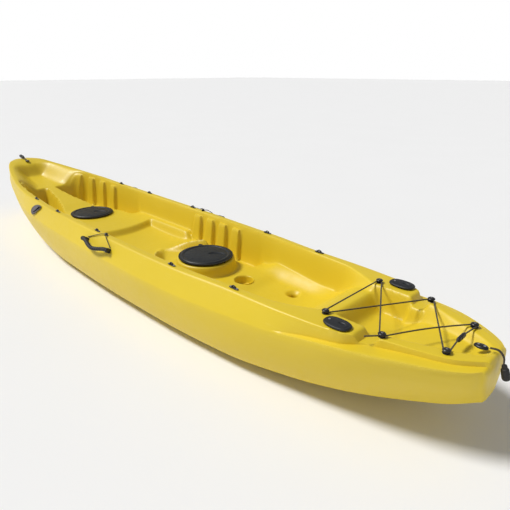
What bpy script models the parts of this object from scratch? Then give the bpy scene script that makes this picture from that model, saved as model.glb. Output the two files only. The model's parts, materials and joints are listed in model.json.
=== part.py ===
"""Two-seat sit-on-top kayak with hatches, rod holders, handles and deck bungee.

Metres, +Z up. X runs from the stern (negative) to the bow (positive) and +Y is
the port side. The origin lies on the keel's flat, at mid-length.
"""
import math

import bmesh
import bpy
import numpy as np
from mathutils import Matrix, Vector

# ---- driving dimensions -------------------------------------------------
WALL = 0.006                  # moulded hull wall
GAP = 0.0003                  # clearance between touching pieces
STERN_END = -1.79
BOW_END = 1.885
STATION_STEP = 0.072
KEEL_FLAT = 0.06              # half width of the flat keel strip

HATCHES = {"front": (0.724, 0.207), "rear": (-0.458, 0.243)}   # x and height of the boss
BOSS_FOOT = {"front": 0.190, "rear": 0.184}
HATCH_HOLE = 0.106
BOSS_RADIUS = 0.138
HINGE_PAD = 0.024
COLLAR_BORE = 0.098
COLLAR_NECK = 0.104
COLLAR_FLANGE = 0.1215
LID_RADIUS = 0.1235
RETAINER_RADIUS = 0.131
HINGE_ANGLE = math.radians(-28)
HINGE_REACH = 0.146

SCUPPERS = ((-0.925, 0.11), (-0.925, -0.11))
SCUPPER_RADIUS = 0.018
CUP = (-0.695, -0.030)
CUP_RADIUS = 0.044
CUP_DEPTH = 0.036

ROD_HOLDER = (-1.372, 0.204)
ROD_BORE = 0.0195
ROD_TUBE = 0.0235
ROD_TILT = math.radians(24)
ROD_LENGTH = 0.13

EYES = ((0.832, 0.292), (0.495, 0.304), (0.028, 0.302), (-0.593, 0.288), (-0.943, 0.256))
BUTTONS = ((-1.298, 0.168), (-1.506, 0.163), (-1.679, 0.102))
BUTTON_HEAD = 0.013
BUTTON_POST = 0.0045
CORD = 0.005                  # deck bungee diameter
BUNGEE_OVER = (4, 5)          # runs of the zigzag that pass over the others

HANDLE_X = (0.060, -0.160)    # forward and aft bracket
GRIP_RADIUS = 0.0105
SIDES = (("port", 1), ("starboard", -1))

YELLOW = (0.84, 0.62, 0.045)
BLACK = (0.022, 0.023, 0.025)
GREY = (0.11, 0.105, 0.11)

# The moulded hull is cut into simple sections: a keel pan below, the rest by these ends.
PAN_TOP = 0.122
SECTIONS = (("bow", 1.36, 2.0), ("front_footwells", 0.905, 1.36), ("front_hatch_deck", 0.50, 0.905),
            ("front_seat", -0.02, 0.50), ("front_seat_back", -0.235, -0.02),
            ("rear_hatch_deck", -0.625, -0.235), ("rear_seat", -1.14, -0.625),
            ("shoulders", -1.44, -1.14), ("stern", -2.0, -1.44))

# ---- hull lines: (x, value), all half widths and heights in metres ------
CREASE_Y = ((-1.79, 0.070), (-1.76, 0.115), (-1.70, 0.160), (-1.62, 0.200), (-1.50, 0.240),
            (-1.36, 0.268), (-1.10, 0.305), (-0.91, 0.328), (-0.69, 0.350), (-0.35, 0.368),
            (0.00, 0.370), (0.50, 0.364), (0.83, 0.347), (1.18, 0.292), (1.42, 0.240),
            (1.60, 0.195), (1.75, 0.148), (1.84, 0.102), (1.885, 0.050))
CREASE_Z = ((-1.79, 0.300), (-1.62, 0.302), (-1.50, 0.294), (-1.36, 0.281), (-1.10, 0.252),
            (-0.60, 0.240), (0.00, 0.240), (0.60, 0.248), (1.10, 0.264), (1.50, 0.292),
            (1.75, 0.325), (1.885, 0.355))
TOP_Y = ((-1.79, 0.045), (-1.755, 0.078), (-1.70, 0.118), (-1.60, 0.154), (-1.48, 0.187),
         (-1.40, 0.234), (-1.28, 0.255), (-1.10, 0.268), (-0.94, 0.273), (-0.60, 0.303),
         (0.00, 0.318), (0.50, 0.320), (0.83, 0.308), (1.05, 0.296), (1.25, 0.268),
         (1.45, 0.228), (1.65, 0.174), (1.80, 0.115), (1.885, 0.040))
RIM_Z = ((-1.79, 0.322), (-1.40, 0.330), (-0.94, 0.328), (-0.50, 0.325), (0.00, 0.328),
         (0.50, 0.331), (0.83, 0.339), (1.10, 0.352), (1.40, 0.374), (1.65, 0.400),
         (1.80, 0.420), (1.885, 0.425))
BILGE_Y = ((-1.79, 0.045), (-1.71, 0.095), (-1.61, 0.140), (-1.50, 0.185), (-1.40, 0.215),
           (-1.20, 0.255), (-0.90, 0.298), (-0.50, 0.325), (0.00, 0.335), (0.50, 0.325),
           (0.80, 0.298), (1.20, 0.235), (1.45, 0.180), (1.65, 0.125), (1.80, 0.072),
           (1.885, 0.034))
BILGE_Z = ((-1.79, 0.190), (-1.71, 0.168), (-1.60, 0.150), (-1.40, 0.120), (-1.20, 0.092),
           (-0.90, 0.068), (-0.40, 0.060), (0.40, 0.060), (0.80, 0.066), (1.20, 0.082),
           (1.50, 0.105), (1.70, 0.140), (1.885, 0.250))
KEEL_Z = ((-1.79, 0.172), (-1.70, 0.135), (-1.50, 0.085), (-1.25, 0.035), (-0.90, 0.004),
          (-0.60, 0.000), (0.80, 0.000), (1.10, 0.008), (1.40, 0.040), (1.60, 0.085),
          (1.75, 0.145), (1.885, 0.235))

# ---- deck lines ---------------------------------------------------------
WELL_Y = ((-1.79, 0.020), (-1.74, 0.055), (-1.60, 0.118), (-1.50, 0.150), (-1.30, 0.150),
          (-1.22, 0.185), (-1.10, 0.228), (-0.94, 0.243), (-0.60, 0.272), (0.00, 0.288),
          (0.50, 0.290), (0.83, 0.278), (1.05, 0.268), (1.25, 0.243), (1.45, 0.205),
          (1.65, 0.150), (1.74, 0.100), (1.885, 0.030))
WALL_RUN = ((-1.79, 0.030), (-1.52, 0.050), (-1.46, 0.034), (-1.20, 0.034), (1.24, 0.036),
            (1.42, 0.150), (1.66, 0.110), (1.74, 0.060))
FLOOR_Z = ((-1.79, 0.322), (-1.765, 0.318), (-1.72, 0.296), (-1.62, 0.290), (-1.53, 0.276),
           (-1.44, 0.240), (-1.345, 0.242), (-1.285, 0.303), (-1.24, 0.300), (-1.09, 0.200),
           (-0.97, 0.170), (-0.80, 0.172), (-0.72, 0.186), (-0.61, 0.190), (-0.30, 0.190),
           (-0.20, 0.172), (-0.02, 0.166), (0.10, 0.160), (0.285, 0.168), (0.325, 0.203), (0.87, 0.203),
           (1.00, 0.226), (1.25, 0.262), (1.50, 0.292), (1.64, 0.312), (1.72, 0.400),
           (1.80, 0.420), (1.885, 0.425))
CONSOLE_Y = ((0.45, 0.190), (0.65, 0.182), (0.85, 0.120), (1.00, 0.078), (1.20, 0.042),
             (1.40, 0.020))
FOOTWELL_Z = 0.138
SEAT_RIDGE_X = -0.075
SEAT_RIDGE_SWEEP = 1.1   # the ridge behind the front seat sweeps aft by this much per metre out
NOTCH = (-1.50, -1.445)
NOTCH_Z = 0.303

# part of the deck's half width at which a section has its points
DECK_STEPS = (0.0, 0.16, 0.31, 0.44, 0.54, 0.64, 0.75, 0.85, 0.93, 1.0)


# ---- small maths --------------------------------------------------------
def curve_through(points, x):
    """Smooth curve through (x, value) pairs that never overshoots between them."""
    px, py = (np.array(v, float) for v in zip(*points))
    step = np.diff(px)
    slope = np.diff(py) / step
    agree = slope[:-1] * slope[1:] > 0
    tangent = np.zeros(len(px))
    total = np.where(agree, slope[:-1] + slope[1:], 1)
    tangent[1:-1] = np.where(agree, 2 * slope[:-1] * slope[1:] / total, 0)
    tangent[0], tangent[-1] = slope[0], slope[-1]
    x = np.clip(np.asarray(x, float), px[0], px[-1])
    i = np.clip(np.searchsorted(px, x) - 1, 0, len(step) - 1)
    t = (x - px[i]) / step[i]
    hermite = tangent[i] * t * (1 - t) ** 2 - tangent[i + 1] * t * t * (1 - t)
    return py[i] + (py[i + 1] - py[i]) * t * t * (3 - 2 * t) + step[i] * hermite


def blend(start, end, value):
    t = np.clip((value - start) / (end - start), 0, 1)
    return t * t * (3 - 2 * t)


def between(low, high, soft, value):
    return blend(low - soft, low + soft, value) * (1 - blend(high - soft, high + soft, value))


def mix(a, b, weight):
    return a + (b - a) * weight


# ---- hull form ----------------------------------------------------------
def deck_height(x, y):
    """Height of the moulded deck: floors, seats, footwells and wells below the rim."""
    across = np.abs(y)
    rim = curve_through(RIM_Z, x)
    bowed = 1.2 * np.minimum(across, 0.25) ** 2 * between(0.18, 0.52, 0.05, x)
    z = curve_through(FLOOR_Z, x - bowed)
    console = curve_through(CONSOLE_Y, x)
    z = mix(z, FOOTWELL_Z, between(0.58, 1.34, 0.05, x) * blend(console, console + 0.045, across))
    z = mix(z, 0.204, between(-0.02, 0.50, 0.04, x) * blend(0.19, 0.235, across))
    z = mix(z, FOOTWELL_Z + 0.006, between(-0.60, -0.16, 0.04, x) * blend(0.150, 0.185, across))
    z = mix(z, 0.218, between(-1.10, -0.68, 0.05, x) * blend(0.140, 0.240, across))
    ridge = np.exp(-((x - SEAT_RIDGE_X + SEAT_RIDGE_SWEEP * across) / 0.032) ** 2)
    z = z + ridge * (0.012 + 0.043 * blend(0, 0.13, across)) * (1 - blend(0.165, 0.20, across))
    well = curve_through(WELL_Y, x)
    run = curve_through(WALL_RUN, x)
    z = mix(z, rim, blend(well - run, well, across))
    return mix(z, NOTCH_Z, between(*NOTCH, 0.012, x) * blend(0.10, 0.13, across))


def half_section(x):
    """Port half of a hull section, from the keel round to the deck's centre line."""
    crease = (float(curve_through(CREASE_Y, x)), float(curve_through(CREASE_Z, x)))
    bilge = (float(curve_through(BILGE_Y, x)), float(curve_through(BILGE_Z, x)))
    keel = float(curve_through(KEEL_Z, x))
    top = float(curve_through(TOP_Y, x))
    flat = min(KEEL_FLAT, 0.4 * bilge[0])
    ledge = mix(crease[0] - 0.003, min(top + 0.004, crease[0] - 0.003), float(blend(-1.18, -1.34, x)))
    outline = [(0.0, keel), (flat, keel)]
    outline.append((0.62 * bilge[0], mix(keel, bilge[1], 0.14)))
    outline.append((0.90 * bilge[0], mix(keel, bilge[1], 0.46)))
    outline.append(bilge)
    outline.append((mix(crease[0], bilge[0], 0.42) + 0.005, mix(crease[1], bilge[1], 0.5)))
    outline.append(crease)
    outline.append((ledge, crease[1] + 0.006))
    for part in reversed(DECK_STEPS):
        outline.append((part * top, float(deck_height(x, part * top))))
    return outline


def station_places():
    """Regular sections, with closer ones where the deck changes over a short length."""
    places = list(np.arange(STERN_END + 0.035, BOW_END - 0.03, STATION_STEP))
    special = [STERN_END, -1.515, -1.486, -1.46, -1.432, -1.345, -1.285, -1.24, -0.605, -0.515,
               -0.235, -0.190, -0.150, -0.112, -0.075, -0.038,
               0.0, 0.285, 0.325, 0.355, 0.385, 0.555, 0.625, 0.875, 1.33, 1.64, 1.72, 1.85, BOW_END]
    places = [x for x in places if min(abs(x - s) for s in special) > 0.026]
    return sorted(places + special)


def loft_hull():
    """Closed outer surface: a loft through sections that change shape along the length."""
    mesh = bmesh.new()
    rings = []
    for x in station_places():
        port = half_section(x)
        starboard = [(-y, z) for y, z in reversed(port[1:-1])]
        rings.append([mesh.verts.new((x, y, z)) for y, z in port + starboard])
    count = len(rings[0])
    for aft, fore in zip(rings, rings[1:]):
        for i in range(count):
            j = (i + 1) % count
            mesh.faces.new((aft[i], aft[j], fore[j], fore[i]))
    mesh.faces.new(list(reversed(rings[0])))
    mesh.faces.new(rings[-1])
    bmesh.ops.recalc_face_normals(mesh, faces=mesh.faces)
    return mesh


# ---- scene helpers ------------------------------------------------------
def clear_scene():
    for thing in list(bpy.data.objects):
        bpy.data.objects.remove(thing, do_unlink=True)


def material(name, colour, roughness, metallic=0.0):
    made = bpy.data.materials.new(name)
    made.use_nodes = True
    shader = made.node_tree.nodes["Principled BSDF"]
    shader.inputs["Base Color"].default_value = (*colour, 1)
    shader.inputs["Roughness"].default_value = roughness
    shader.inputs["Metallic"].default_value = metallic
    return made


def add_object(name, data, finish, collection):
    thing = bpy.data.objects.new(name, data)
    if finish:
        thing.data.materials.append(finish)
    collection.objects.link(thing)
    return thing


def mesh_object(name, mesh, finish, collection):
    data = bpy.data.meshes.new(name)
    mesh.to_mesh(data)
    mesh.free()
    return add_object(name, data, finish, collection)


def cutter(name, mesh):
    thing = mesh_object(name, mesh, None, CUTTERS)
    thing.hide_render = True
    thing.display_type = "WIRE"
    return thing


def cylinder(radius, low, high, segments=32, place=(0, 0)):
    """Upright cylinder between two heights."""
    mesh = bmesh.new()
    centre = Matrix.Translation((*place, (low + high) / 2))
    bmesh.ops.create_cone(mesh, cap_ends=True, segments=segments, radius1=radius,
                          radius2=radius, depth=high - low, matrix=centre)
    return mesh


def boolean(target, tool, operation):
    change = target.modifiers.new(tool.name, "BOOLEAN")
    change.object = tool
    change.operation = operation
    change.solver = "EXACT"


def turned(name, profile, finish, place, steps=36):
    """Turned piece: a closed profile of (radius, height) about an upright axis."""
    mesh = bmesh.new()
    verts = [mesh.verts.new((r, 0, z)) for r, z in profile]
    for a, b in zip(verts, verts[1:]):
        mesh.edges.new((a, b))
    if profile[0][0] > 0:
        mesh.edges.new((verts[-1], verts[0]))
    thing = mesh_object(name, mesh, finish, PARTS)
    thing.location = place
    screw = thing.modifiers.new("turn", "SCREW")
    screw.steps = steps
    screw.render_steps = steps
    screw.use_merge_vertices = True
    screw.merge_threshold = 0.0001
    return thing


def outline_piece(name, outline, thickness, finish, bevel=0.0):
    """Flat piece in the XY plane, from a closed outline and a thickness about z = 0."""
    data = bpy.data.curves.new(name, "CURVE")
    data.dimensions = "2D"
    data.fill_mode = "BOTH"
    data.extrude = thickness / 2 - bevel
    data.bevel_depth = bevel
    data.bevel_resolution = 1
    for loop in outline:
        spline = data.splines.new("POLY")
        spline.points.add(len(loop) - 1)
        for point, (u, v) in zip(spline.points, loop):
            point.co = (u, v, 0, 1)
        spline.use_cyclic_u = True
    return add_object(name, data, finish, PARTS)


def tube_piece(name, points, radius, finish, resolution=2):
    """Round cord or rod along a route of points."""
    data = bpy.data.curves.new(name, "CURVE")
    data.dimensions = "3D"
    data.bevel_depth = radius
    data.bevel_resolution = resolution
    data.use_fill_caps = True
    spline = data.splines.new("POLY")
    spline.points.add(len(points) - 1)
    for point, co in zip(spline.points, points):
        point.co = (*co, 1)
    return add_object(name, data, finish, PARTS)


def smooth_route(points, count):
    """Evenly spaced points on a Catmull-Rom curve through the given ones."""
    p = [Vector(v) for v in points]
    p = [2 * p[0] - p[1]] + p + [2 * p[-1] - p[-2]]
    fine = []
    for a, b, c, d in zip(p, p[1:], p[2:], p[3:]):
        for k in range(24):
            t = k / 24
            fine.append(0.5 * (2 * b + (c - a) * t + (2 * a - 5 * b + 4 * c - d) * t * t
                               + (3 * b - a - 3 * c + d) * t ** 3))
    fine.append(p[-2])
    reach = [0.0]
    for a, b in zip(fine, fine[1:]):
        reach.append(reach[-1] + (b - a).length)
    wanted = np.linspace(0, reach[-1], count)
    axes = [np.interp(wanted, reach, [v[i] for v in fine]) for i in range(3)]
    return [tuple(float(a[k]) for a in axes) for k in range(count)]


def ellipse(half_x, half_y, count, power=2.0):
    """Closed oval; a power above 2 squares its corners a little."""
    loop = []
    for k in range(count):
        a = 2 * math.pi * k / count
        c, s = math.cos(a), math.sin(a)
        loop.append((half_x * math.copysign(abs(c) ** (2 / power), c),
                     half_y * math.copysign(abs(s) ** (2 / power), s)))
    return loop


# ---- sub-parts ----------------------------------------------------------
def make_hull(finish):
    hull = mesh_object("hull", loft_hull(), finish, PARTS)
    shell = hull.modifiers.new("wall", "SOLIDIFY")
    shell.thickness = WALL
    shell.offset = -1
    floor = float(deck_height(*CUP))
    bottom = floor - CUP_DEPTH
    cup_wall = cylinder(CUP_RADIUS + WALL, bottom - WALL, floor - 0.002, 24, CUP)
    boolean(hull, cutter("cup_wall", cup_wall), "UNION")
    pocket = cylinder(CUP_RADIUS, bottom, floor + 0.06, 24, CUP)
    boolean(hull, cutter("cup_pocket", pocket), "DIFFERENCE")
    for i, (x, y) in enumerate(SCUPPERS):
        low = float(curve_through(KEEL_Z, x)) + 0.004
        high = float(deck_height(x, y)) - 0.002
        tube = cylinder(SCUPPER_RADIUS + WALL, low, high, 20, (x, y))
        boolean(hull, cutter(f"scupper_wall_{i}", tube), "UNION")
    for i, spot in enumerate(SCUPPERS):
        bore = cylinder(SCUPPER_RADIUS, -0.05, 0.4, 20, spot)
        boolean(hull, cutter(f"scupper_bore_{i}", bore), "DIFFERENCE")
    for name, (x, height) in HATCHES.items():
        boss = cylinder(BOSS_RADIUS, BOSS_FOOT[name], height, 48, (x, 0))
        boolean(hull, cutter(f"hatch_boss_{name}", boss), "UNION")
        hinge = rotation_place(HINGE_ANGLE, (x, 0, height), HINGE_REACH + 0.002, 0)
        pad = cylinder(HINGE_PAD, BOSS_FOOT[name], height, 20, hinge[:2])
        boolean(hull, cutter(f"hinge_pad_{name}", pad), "UNION")
        opening = cylinder(HATCH_HOLE, height - 0.08, height + 0.03, 48, (x, 0))
        boolean(hull, cutter(f"hatch_opening_{name}", opening), "DIFFERENCE")
    for side, sign in SIDES:
        opening = cylinder(ROD_TUBE + GAP, -0.06, 0.04, 24)
        hole = cutter(f"rod_opening_{side}", opening)
        hole.matrix_world = rod_frame(sign)
        boolean(hull, hole, "DIFFERENCE")
    split_hull(hull)


def split_hull(hull):
    """Cut the one moulding into its keel pan and the sections above, with a hair's gap."""
    bpy.context.view_layer.update()
    whole = hull.evaluated_get(bpy.context.evaluated_depsgraph_get())
    boxes = [("hull_keel_pan", (-2, -1, -1), (2, 1, PAN_TOP))]
    boxes += [(f"hull_{name}", (low, -1, PAN_TOP), (high, 1, 1)) for name, low, high in SECTIONS]
    for name, low, high in boxes:
        part = add_object(name, bpy.data.meshes.new_from_object(whole), None, PARTS)
        low, high = Vector(low) + Vector((GAP, GAP, GAP)) / 2, Vector(high) - Vector((GAP, GAP, GAP)) / 2
        mesh = bmesh.new()
        bmesh.ops.create_cube(mesh, size=1, matrix=Matrix.Translation((low + high) / 2)
                              @ Matrix.Diagonal((*(high - low), 1)))
        boolean(part, cutter(f"{name}_box", mesh), "INTERSECT")
    bpy.data.objects.remove(hull)


def make_hatch(name, collar_finish, lid_finish, rubber):
    x, deck = HATCHES[name]
    place = (x, 0, deck)
    collar = [(COLLAR_FLANGE, 0.0050), (COLLAR_FLANGE, GAP), (COLLAR_NECK, GAP),
              (COLLAR_NECK, -0.030), (COLLAR_BORE, -0.030), (COLLAR_BORE, 0.0050)]
    turned(f"hatch_collar_{name}", collar, collar_finish, place)
    gasket = [(0.117, 0.0073), (0.117, 0.0053), (0.109, 0.0053), (0.109, 0.0073)]
    turned(f"hatch_gasket_{name}", gasket, rubber, place)
    lid = [(0, 0.0165), (0.100, 0.0165), (LID_RADIUS - 0.005, 0.0150), (LID_RADIUS, 0.0110),
           (LID_RADIUS, 0.0076), (0.096, 0.0076), (0.096, -0.0060), (0.092, -0.0060),
           (0.092, 0.0076), (0, 0.0076)]
    turned(f"hatch_lid_{name}", lid, lid_finish, place)
    hinge = rotation_place(HINGE_ANGLE, place, HINGE_REACH, 0.011)
    ring = [[(r * math.cos(a), r * math.sin(a)) for a in steps(0, 2 * math.pi, 36)]
            for r in (RETAINER_RADIUS, LID_RADIUS + GAP)]
    retainer = outline_piece(f"hatch_retainer_{name}", [ring_with_tongue(ring[0]), ring[1]], 0.005, rubber)
    shift_origin(retainer, place, 0.0095, hinge)
    lug = cylinder(0.0075, GAP, 0.0065, 16)
    anchor = mesh_object(f"hatch_lug_{name}", lug, collar_finish, PARTS)
    anchor.location = rotation_place(HINGE_ANGLE, place, HINGE_REACH + 0.0125, 0)


def steps(start, end, count):
    return [start + (end - start) * k / count for k in range(count)]


def rotation_place(angle, place, reach, height):
    return (place[0] + reach * math.cos(angle), place[1] + reach * math.sin(angle), place[2] + height)


def ring_with_tongue(ring):
    """The ring's outer edge, drawn out to a tongue on the hinge's side."""
    out = []
    for u, v in ring:
        turn = math.remainder(math.atan2(v, u) - HINGE_ANGLE, 2 * math.pi)
        reach = math.hypot(u, v)
        if abs(turn) < 0.08:
            reach = HINGE_REACH + 0.003
        out.append((reach * math.cos(HINGE_ANGLE + turn), reach * math.sin(HINGE_ANGLE + turn)))
    return out


def shift_origin(thing, place, height, origin):
    """Put an object's origin on its joint axis, and leave its shape where it was."""
    spot = Vector((place[0], place[1], place[2] + height))
    empty = bpy.data.objects.new(f"{thing.name}_axis", None)
    PARTS.objects.link(empty)
    empty.location = origin
    thing.parent = empty
    thing.location = spot - Vector(origin)


def rod_frame(sign):
    """Frame of a rod holder: its mouth on the shoulder, its tube raked forward below."""
    x, y = ROD_HOLDER
    z = float(curve_through(RIM_Z, x))
    return Matrix.Translation((x, sign * y, z)) @ Matrix.Rotation(-ROD_TILT, 4, "Y")


def make_rod_holder(side, sign, finish, rubber):
    z = float(curve_through(RIM_Z, ROD_HOLDER[0]))
    tube = [(0, 0.003 - ROD_LENGTH), (ROD_BORE, 0.003 - ROD_LENGTH), (ROD_BORE, -0.013),
            (ROD_TUBE, -0.013), (ROD_TUBE, -ROD_LENGTH), (0, -ROD_LENGTH)]
    holder = turned(f"rod_holder_tube_{side}", tube, finish, (0, 0, 0), 16)
    holder.matrix_world = rod_frame(sign)
    cap = outline_piece(f"rod_holder_cap_{side}", [ellipse(0.046, 0.029, 20, 2.6)], 0.009, rubber, 0.0025)
    hinge_x = ROD_HOLDER[0] + 0.0465
    y = sign * ROD_HOLDER[1]
    shift_origin(cap, (ROD_HOLDER[0], y, z), 0.0078, (hinge_x, y, z + 0.0078))


def band_frame(x, sign, along, lift=0.0):
    """Frame on the sloping side band: X along the hull, Y up the slope, Z out of it."""
    low = Vector((x, float(curve_through(CREASE_Y, x)), float(curve_through(CREASE_Z, x))))
    high = Vector((x, float(curve_through(TOP_Y, x)), float(curve_through(RIM_Z, x))))
    up = (high - low).normalized()
    out = Vector((0, up.z, -up.y))
    spot = low.lerp(high, along) + out * lift
    along_hull = up.cross(out)
    frame = Matrix((along_hull, up, out)).transposed().to_4x4()
    frame.translation = spot
    if sign < 0:
        frame = Matrix.Scale(-1, 4, (0, 1, 0)) @ frame @ Matrix.Scale(-1, 4, (1, 0, 0))
    return frame


def half_moon(chord, bulge, flat, count):
    """Outline that bulges out on one side of its chord, and hardly at all on the other."""
    outline = []
    for angle in np.linspace(0, 2 * math.pi, count, endpoint=False):
        out = math.cos(angle) * (1 if math.cos(angle) > 0 else flat)
        along = math.sin(angle) / 2
        outline.append((out * bulge[0] + along * chord[0], out * bulge[1] + along * chord[1]))
    return outline


def make_side_cover(side, sign, finish):
    outline = half_moon((sign * 0.084, 0.066), (-sign * 0.060, 0.014), 0.12, 28)
    cover = outline_piece(f"side_cover_{side}", [outline], 0.006, finish, 0.0015)
    cover.matrix_world = band_frame(0.728, sign, 0.50, 0.0075)


def make_strap_eye(side, sign, index, finish):
    """Low arched eye with a flat foot, screwed to the gunwale."""
    x, y = EYES[index]
    arch = [(0.024, 0), (0.024, 0.003), (0.013, 0.003)]
    arch += [(0.0115 * math.cos(a), 0.003 + 0.0095 * math.sin(a)) for a in steps(0.2, math.pi, 6)]
    arch += [(-0.013, 0.003), (-0.024, 0.003), (-0.024, 0)]
    hole = [(0.0068 * math.cos(a), 0.0045 + 0.0042 * math.sin(a)) for a in steps(0, 2 * math.pi, 8)]
    eye = outline_piece(f"strap_eye_{side}_{index + 1}", [arch, hole], 0.010, finish)
    z = float(curve_through(RIM_Z, x)) + 0.0015
    climb = float(curve_through(RIM_Z, x + 0.05) - curve_through(RIM_Z, x))
    pitch = -math.atan2(climb, 0.05)
    eye.matrix_world = (Matrix.Translation((x, sign * y, z)) @ Matrix.Rotation(pitch, 4, "Y")
                        @ Matrix.Rotation(math.pi / 2, 4, "X"))


def button_spot(index, sign):
    x, y = BUTTONS[index]
    return Vector((x, sign * y, float(curve_through(RIM_Z, x)) + 0.0015))


def make_button(side, sign, index, finish):
    """Mushroom-headed bungee button, turned."""
    profile = [(0, 0.0145), (0.007, 0.0140), (0.0115, 0.0120), (BUTTON_HEAD, 0.0095), (0.0115, 0.0085),
               (BUTTON_POST, 0.0080), (BUTTON_POST, 0.0022), (0.0120, 0.0020), (0.0120, 0), (0, 0)]
    turned(f"bungee_button_{side}_{index + 1}", profile, finish, button_spot(index, sign), 12)


def wrap_points(before, here, after, radius):
    """Points where a cord bends round a post, between the places it comes from and goes to."""
    into = (here - before).normalized()
    away = (after - here).normalized()
    middle = math.atan2(into.y - away.y, into.x - away.x)
    turn = math.atan2(into.x * away.y - into.y * away.x, into.dot(away))
    angles = [middle + turn * k / 4 for k in (-2, -1, 0, 1, 2)]
    return [here + radius * Vector((math.cos(a), math.sin(a), 0)) for a in angles]


def bungee_route(lock):
    """Zigzag over the stern well, from one end of the cord lock round to the other."""
    order = [(2, 1), (1, -1), (0, 1), (0, -1), (1, 1), (2, -1)]
    posts = [button_spot(i, s) + Vector((0, 0, 0.005)) for i, s in order]
    stops = [lock + Vector((0, 0.030, 0))] + posts + [lock - Vector((0, 0.030, 0))]
    bends = [[stops[0]]]
    for before, here, after in zip(stops, stops[1:], stops[2:]):
        bends.append(wrap_points(before, here, after, BUTTON_POST + CORD / 2 + GAP))
    bends.append([stops[-1]])
    route = list(bends[0])
    for run, (here, after) in enumerate(zip(bends, bends[1:])):
        rise = 0.0065 if run in BUNGEE_OVER else 0
        for part in (0.2, 0.4, 0.6, 0.8):
            lift = Vector((0, 0, rise * math.sin(math.pi * part)))
            route.append(here[-1].lerp(after[0], part) + lift)
        route.extend(after)
    return route


def make_bungee(cord_finish, finish):
    lock = (button_spot(2, 1) + button_spot(2, -1)) / 2 + Vector((0, 0, 0.0065))
    tube_piece("deck_bungee", bungee_route(lock), CORD / 2, cord_finish)
    body = outline_piece("bungee_lock", [ellipse(0.0267, 0.0065, 20, 2.4)], 0.013, finish, 0.003)
    body.matrix_world = Matrix.Translation(lock) @ Matrix.Rotation(math.pi / 2, 4, "Z")


def gunwale_corner(x, sign):
    """Just outside the gunwale's outer corner, where a cord passes over it."""
    y = float(curve_through(TOP_Y, x)) + 0.003
    return Vector((x, sign * y, float(curve_through(RIM_Z, x)) + 0.004))


def make_handle(side, sign, finish, rubber, cord_finish):
    """Carry handle: two brackets, a bowed grip that swings on them, and a paddle keeper."""
    spots = []
    grip_ends = []
    for end, x, face in (("fwd", HANDLE_X[0], 1), ("aft", HANDLE_X[1], -1)):
        frame = band_frame(x, sign, 0.50, 0.0015)
        outer = -face * sign
        profile = [(-0.013, 0), (0.013, 0), (0.013, 0.030), (0.007, 0.030), (0.007, 0.008), (-0.013, 0.008)]
        bracket = outline_piece(f"handle_bracket_{end}_{side}", [[(outer * u, v) for u, v in profile]], 0.022,
                                finish)
        bracket.matrix_world = frame @ Matrix.Rotation(math.pi / 2, 4, "X")
        spots.append(frame)
        grip_ends.append(frame @ Vector((outer * 0.0050, 0, 0.0205)))
    fore, aft = grip_ends
    out = spots[0].to_3x3().col[2]
    down = -spots[0].to_3x3().col[1]
    route = []
    for part in (0, 0.03, 0.14, 0.3, 0.5, 0.7, 0.86, 0.97, 1):
        bow = math.sin(math.pi * part) ** 2
        route.append(fore.lerp(aft, part) + out * (0.010 * bow) + down * (0.022 * bow))
    grip = tube_piece(f"carry_grip_{side}", [v - fore for v in map(Vector, smooth_route(route, 11))],
                      GRIP_RADIUS, rubber, 2)
    grip.location = fore
    z = float(curve_through(RIM_Z, -0.065))
    hook_spot = Vector((-0.065, sign * 0.303, z + 0.0015))
    hook = [(0, 0.011), (0.0075, 0.010), (0.0085, 0.0075), (0.004, 0.0065), (0.004, 0.002), (0.009, 0.0018),
            (0.009, 0), (0, 0)]
    turned(f"paddle_hook_{side}", hook, finish, hook_spot, 10)
    post = 0.004 + 0.002 + GAP
    ends = [f.translation + f.to_3x3() @ Vector((0, 0.0150, 0.002)) for f in spots]
    bend = [hook_spot + Vector((post * math.cos(a), -sign * post * math.sin(a), 0.0042))
            for a in (0, math.pi / 4, math.pi / 2, 3 * math.pi / 4, math.pi)]
    loop = [ends[0], gunwale_corner(-0.035, sign)] + bend + [gunwale_corner(-0.095, sign), ends[1]]
    tube_piece(f"paddle_bungee_{side}", [tuple(v) for v in loop], 0.002, cord_finish)


def make_toggle(end, finish, rubber, cord_finish):
    """Oval deck base with an eye, a cord loop and a tapered toggle grip."""
    sign = 1 if end == "bow" else -1
    x = 1.751 if end == "bow" else -1.738
    z = float(curve_through(RIM_Z, x)) + 0.002
    base = outline_piece(f"toggle_base_{end}", [ellipse(0.019, 0.012, 20, 2.0)], 0.008, finish, 0.002)
    base.location = (x, 0, z + 0.004 + GAP)
    eye_x = x + sign * 0.024
    if end == "bow":
        path = [(eye_x, z + 0.009), (x + 0.048, z + 0.013), (x + 0.064, z + 0.020)]
        grip = ((x + 0.065, z + 0.0215), (x + 0.140, z + 0.0265))
    else:
        path = [(eye_x, z + 0.009), (x - 0.048, z + 0.011), (x - 0.064, z - 0.004), (x - 0.068, z - 0.024)]
        grip = ((x - 0.069, z - 0.026), (x - 0.084, z - 0.074))
    axis = Vector((eye_x, 0, z + 0.009))
    points = [Vector((u, 0, v)) for u, v in path]
    cord = tube_piece(f"toggle_cord_{end}", [v - axis for v in map(Vector, smooth_route(points, 14))],
                      0.0035, cord_finish)
    cord.location = axis
    a, b = (Vector((u, 0, v)) for u, v in grip)
    along = (b - a).normalized()
    length = (b - a).length
    profile = [(0, length), (0.006, length), (0.0115, length - 0.010), (0.0125, 0.6 * length),
               (0.0085, 0.010), (0.006, 0.0006), (0, 0.0006)]
    handle = turned(f"toggle_grip_{end}", profile, rubber, (0, 0, 0), 20)
    pose = along.to_track_quat("Z", "Y").to_matrix().to_4x4()
    pose.translation = a
    handle.matrix_world = pose


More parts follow.
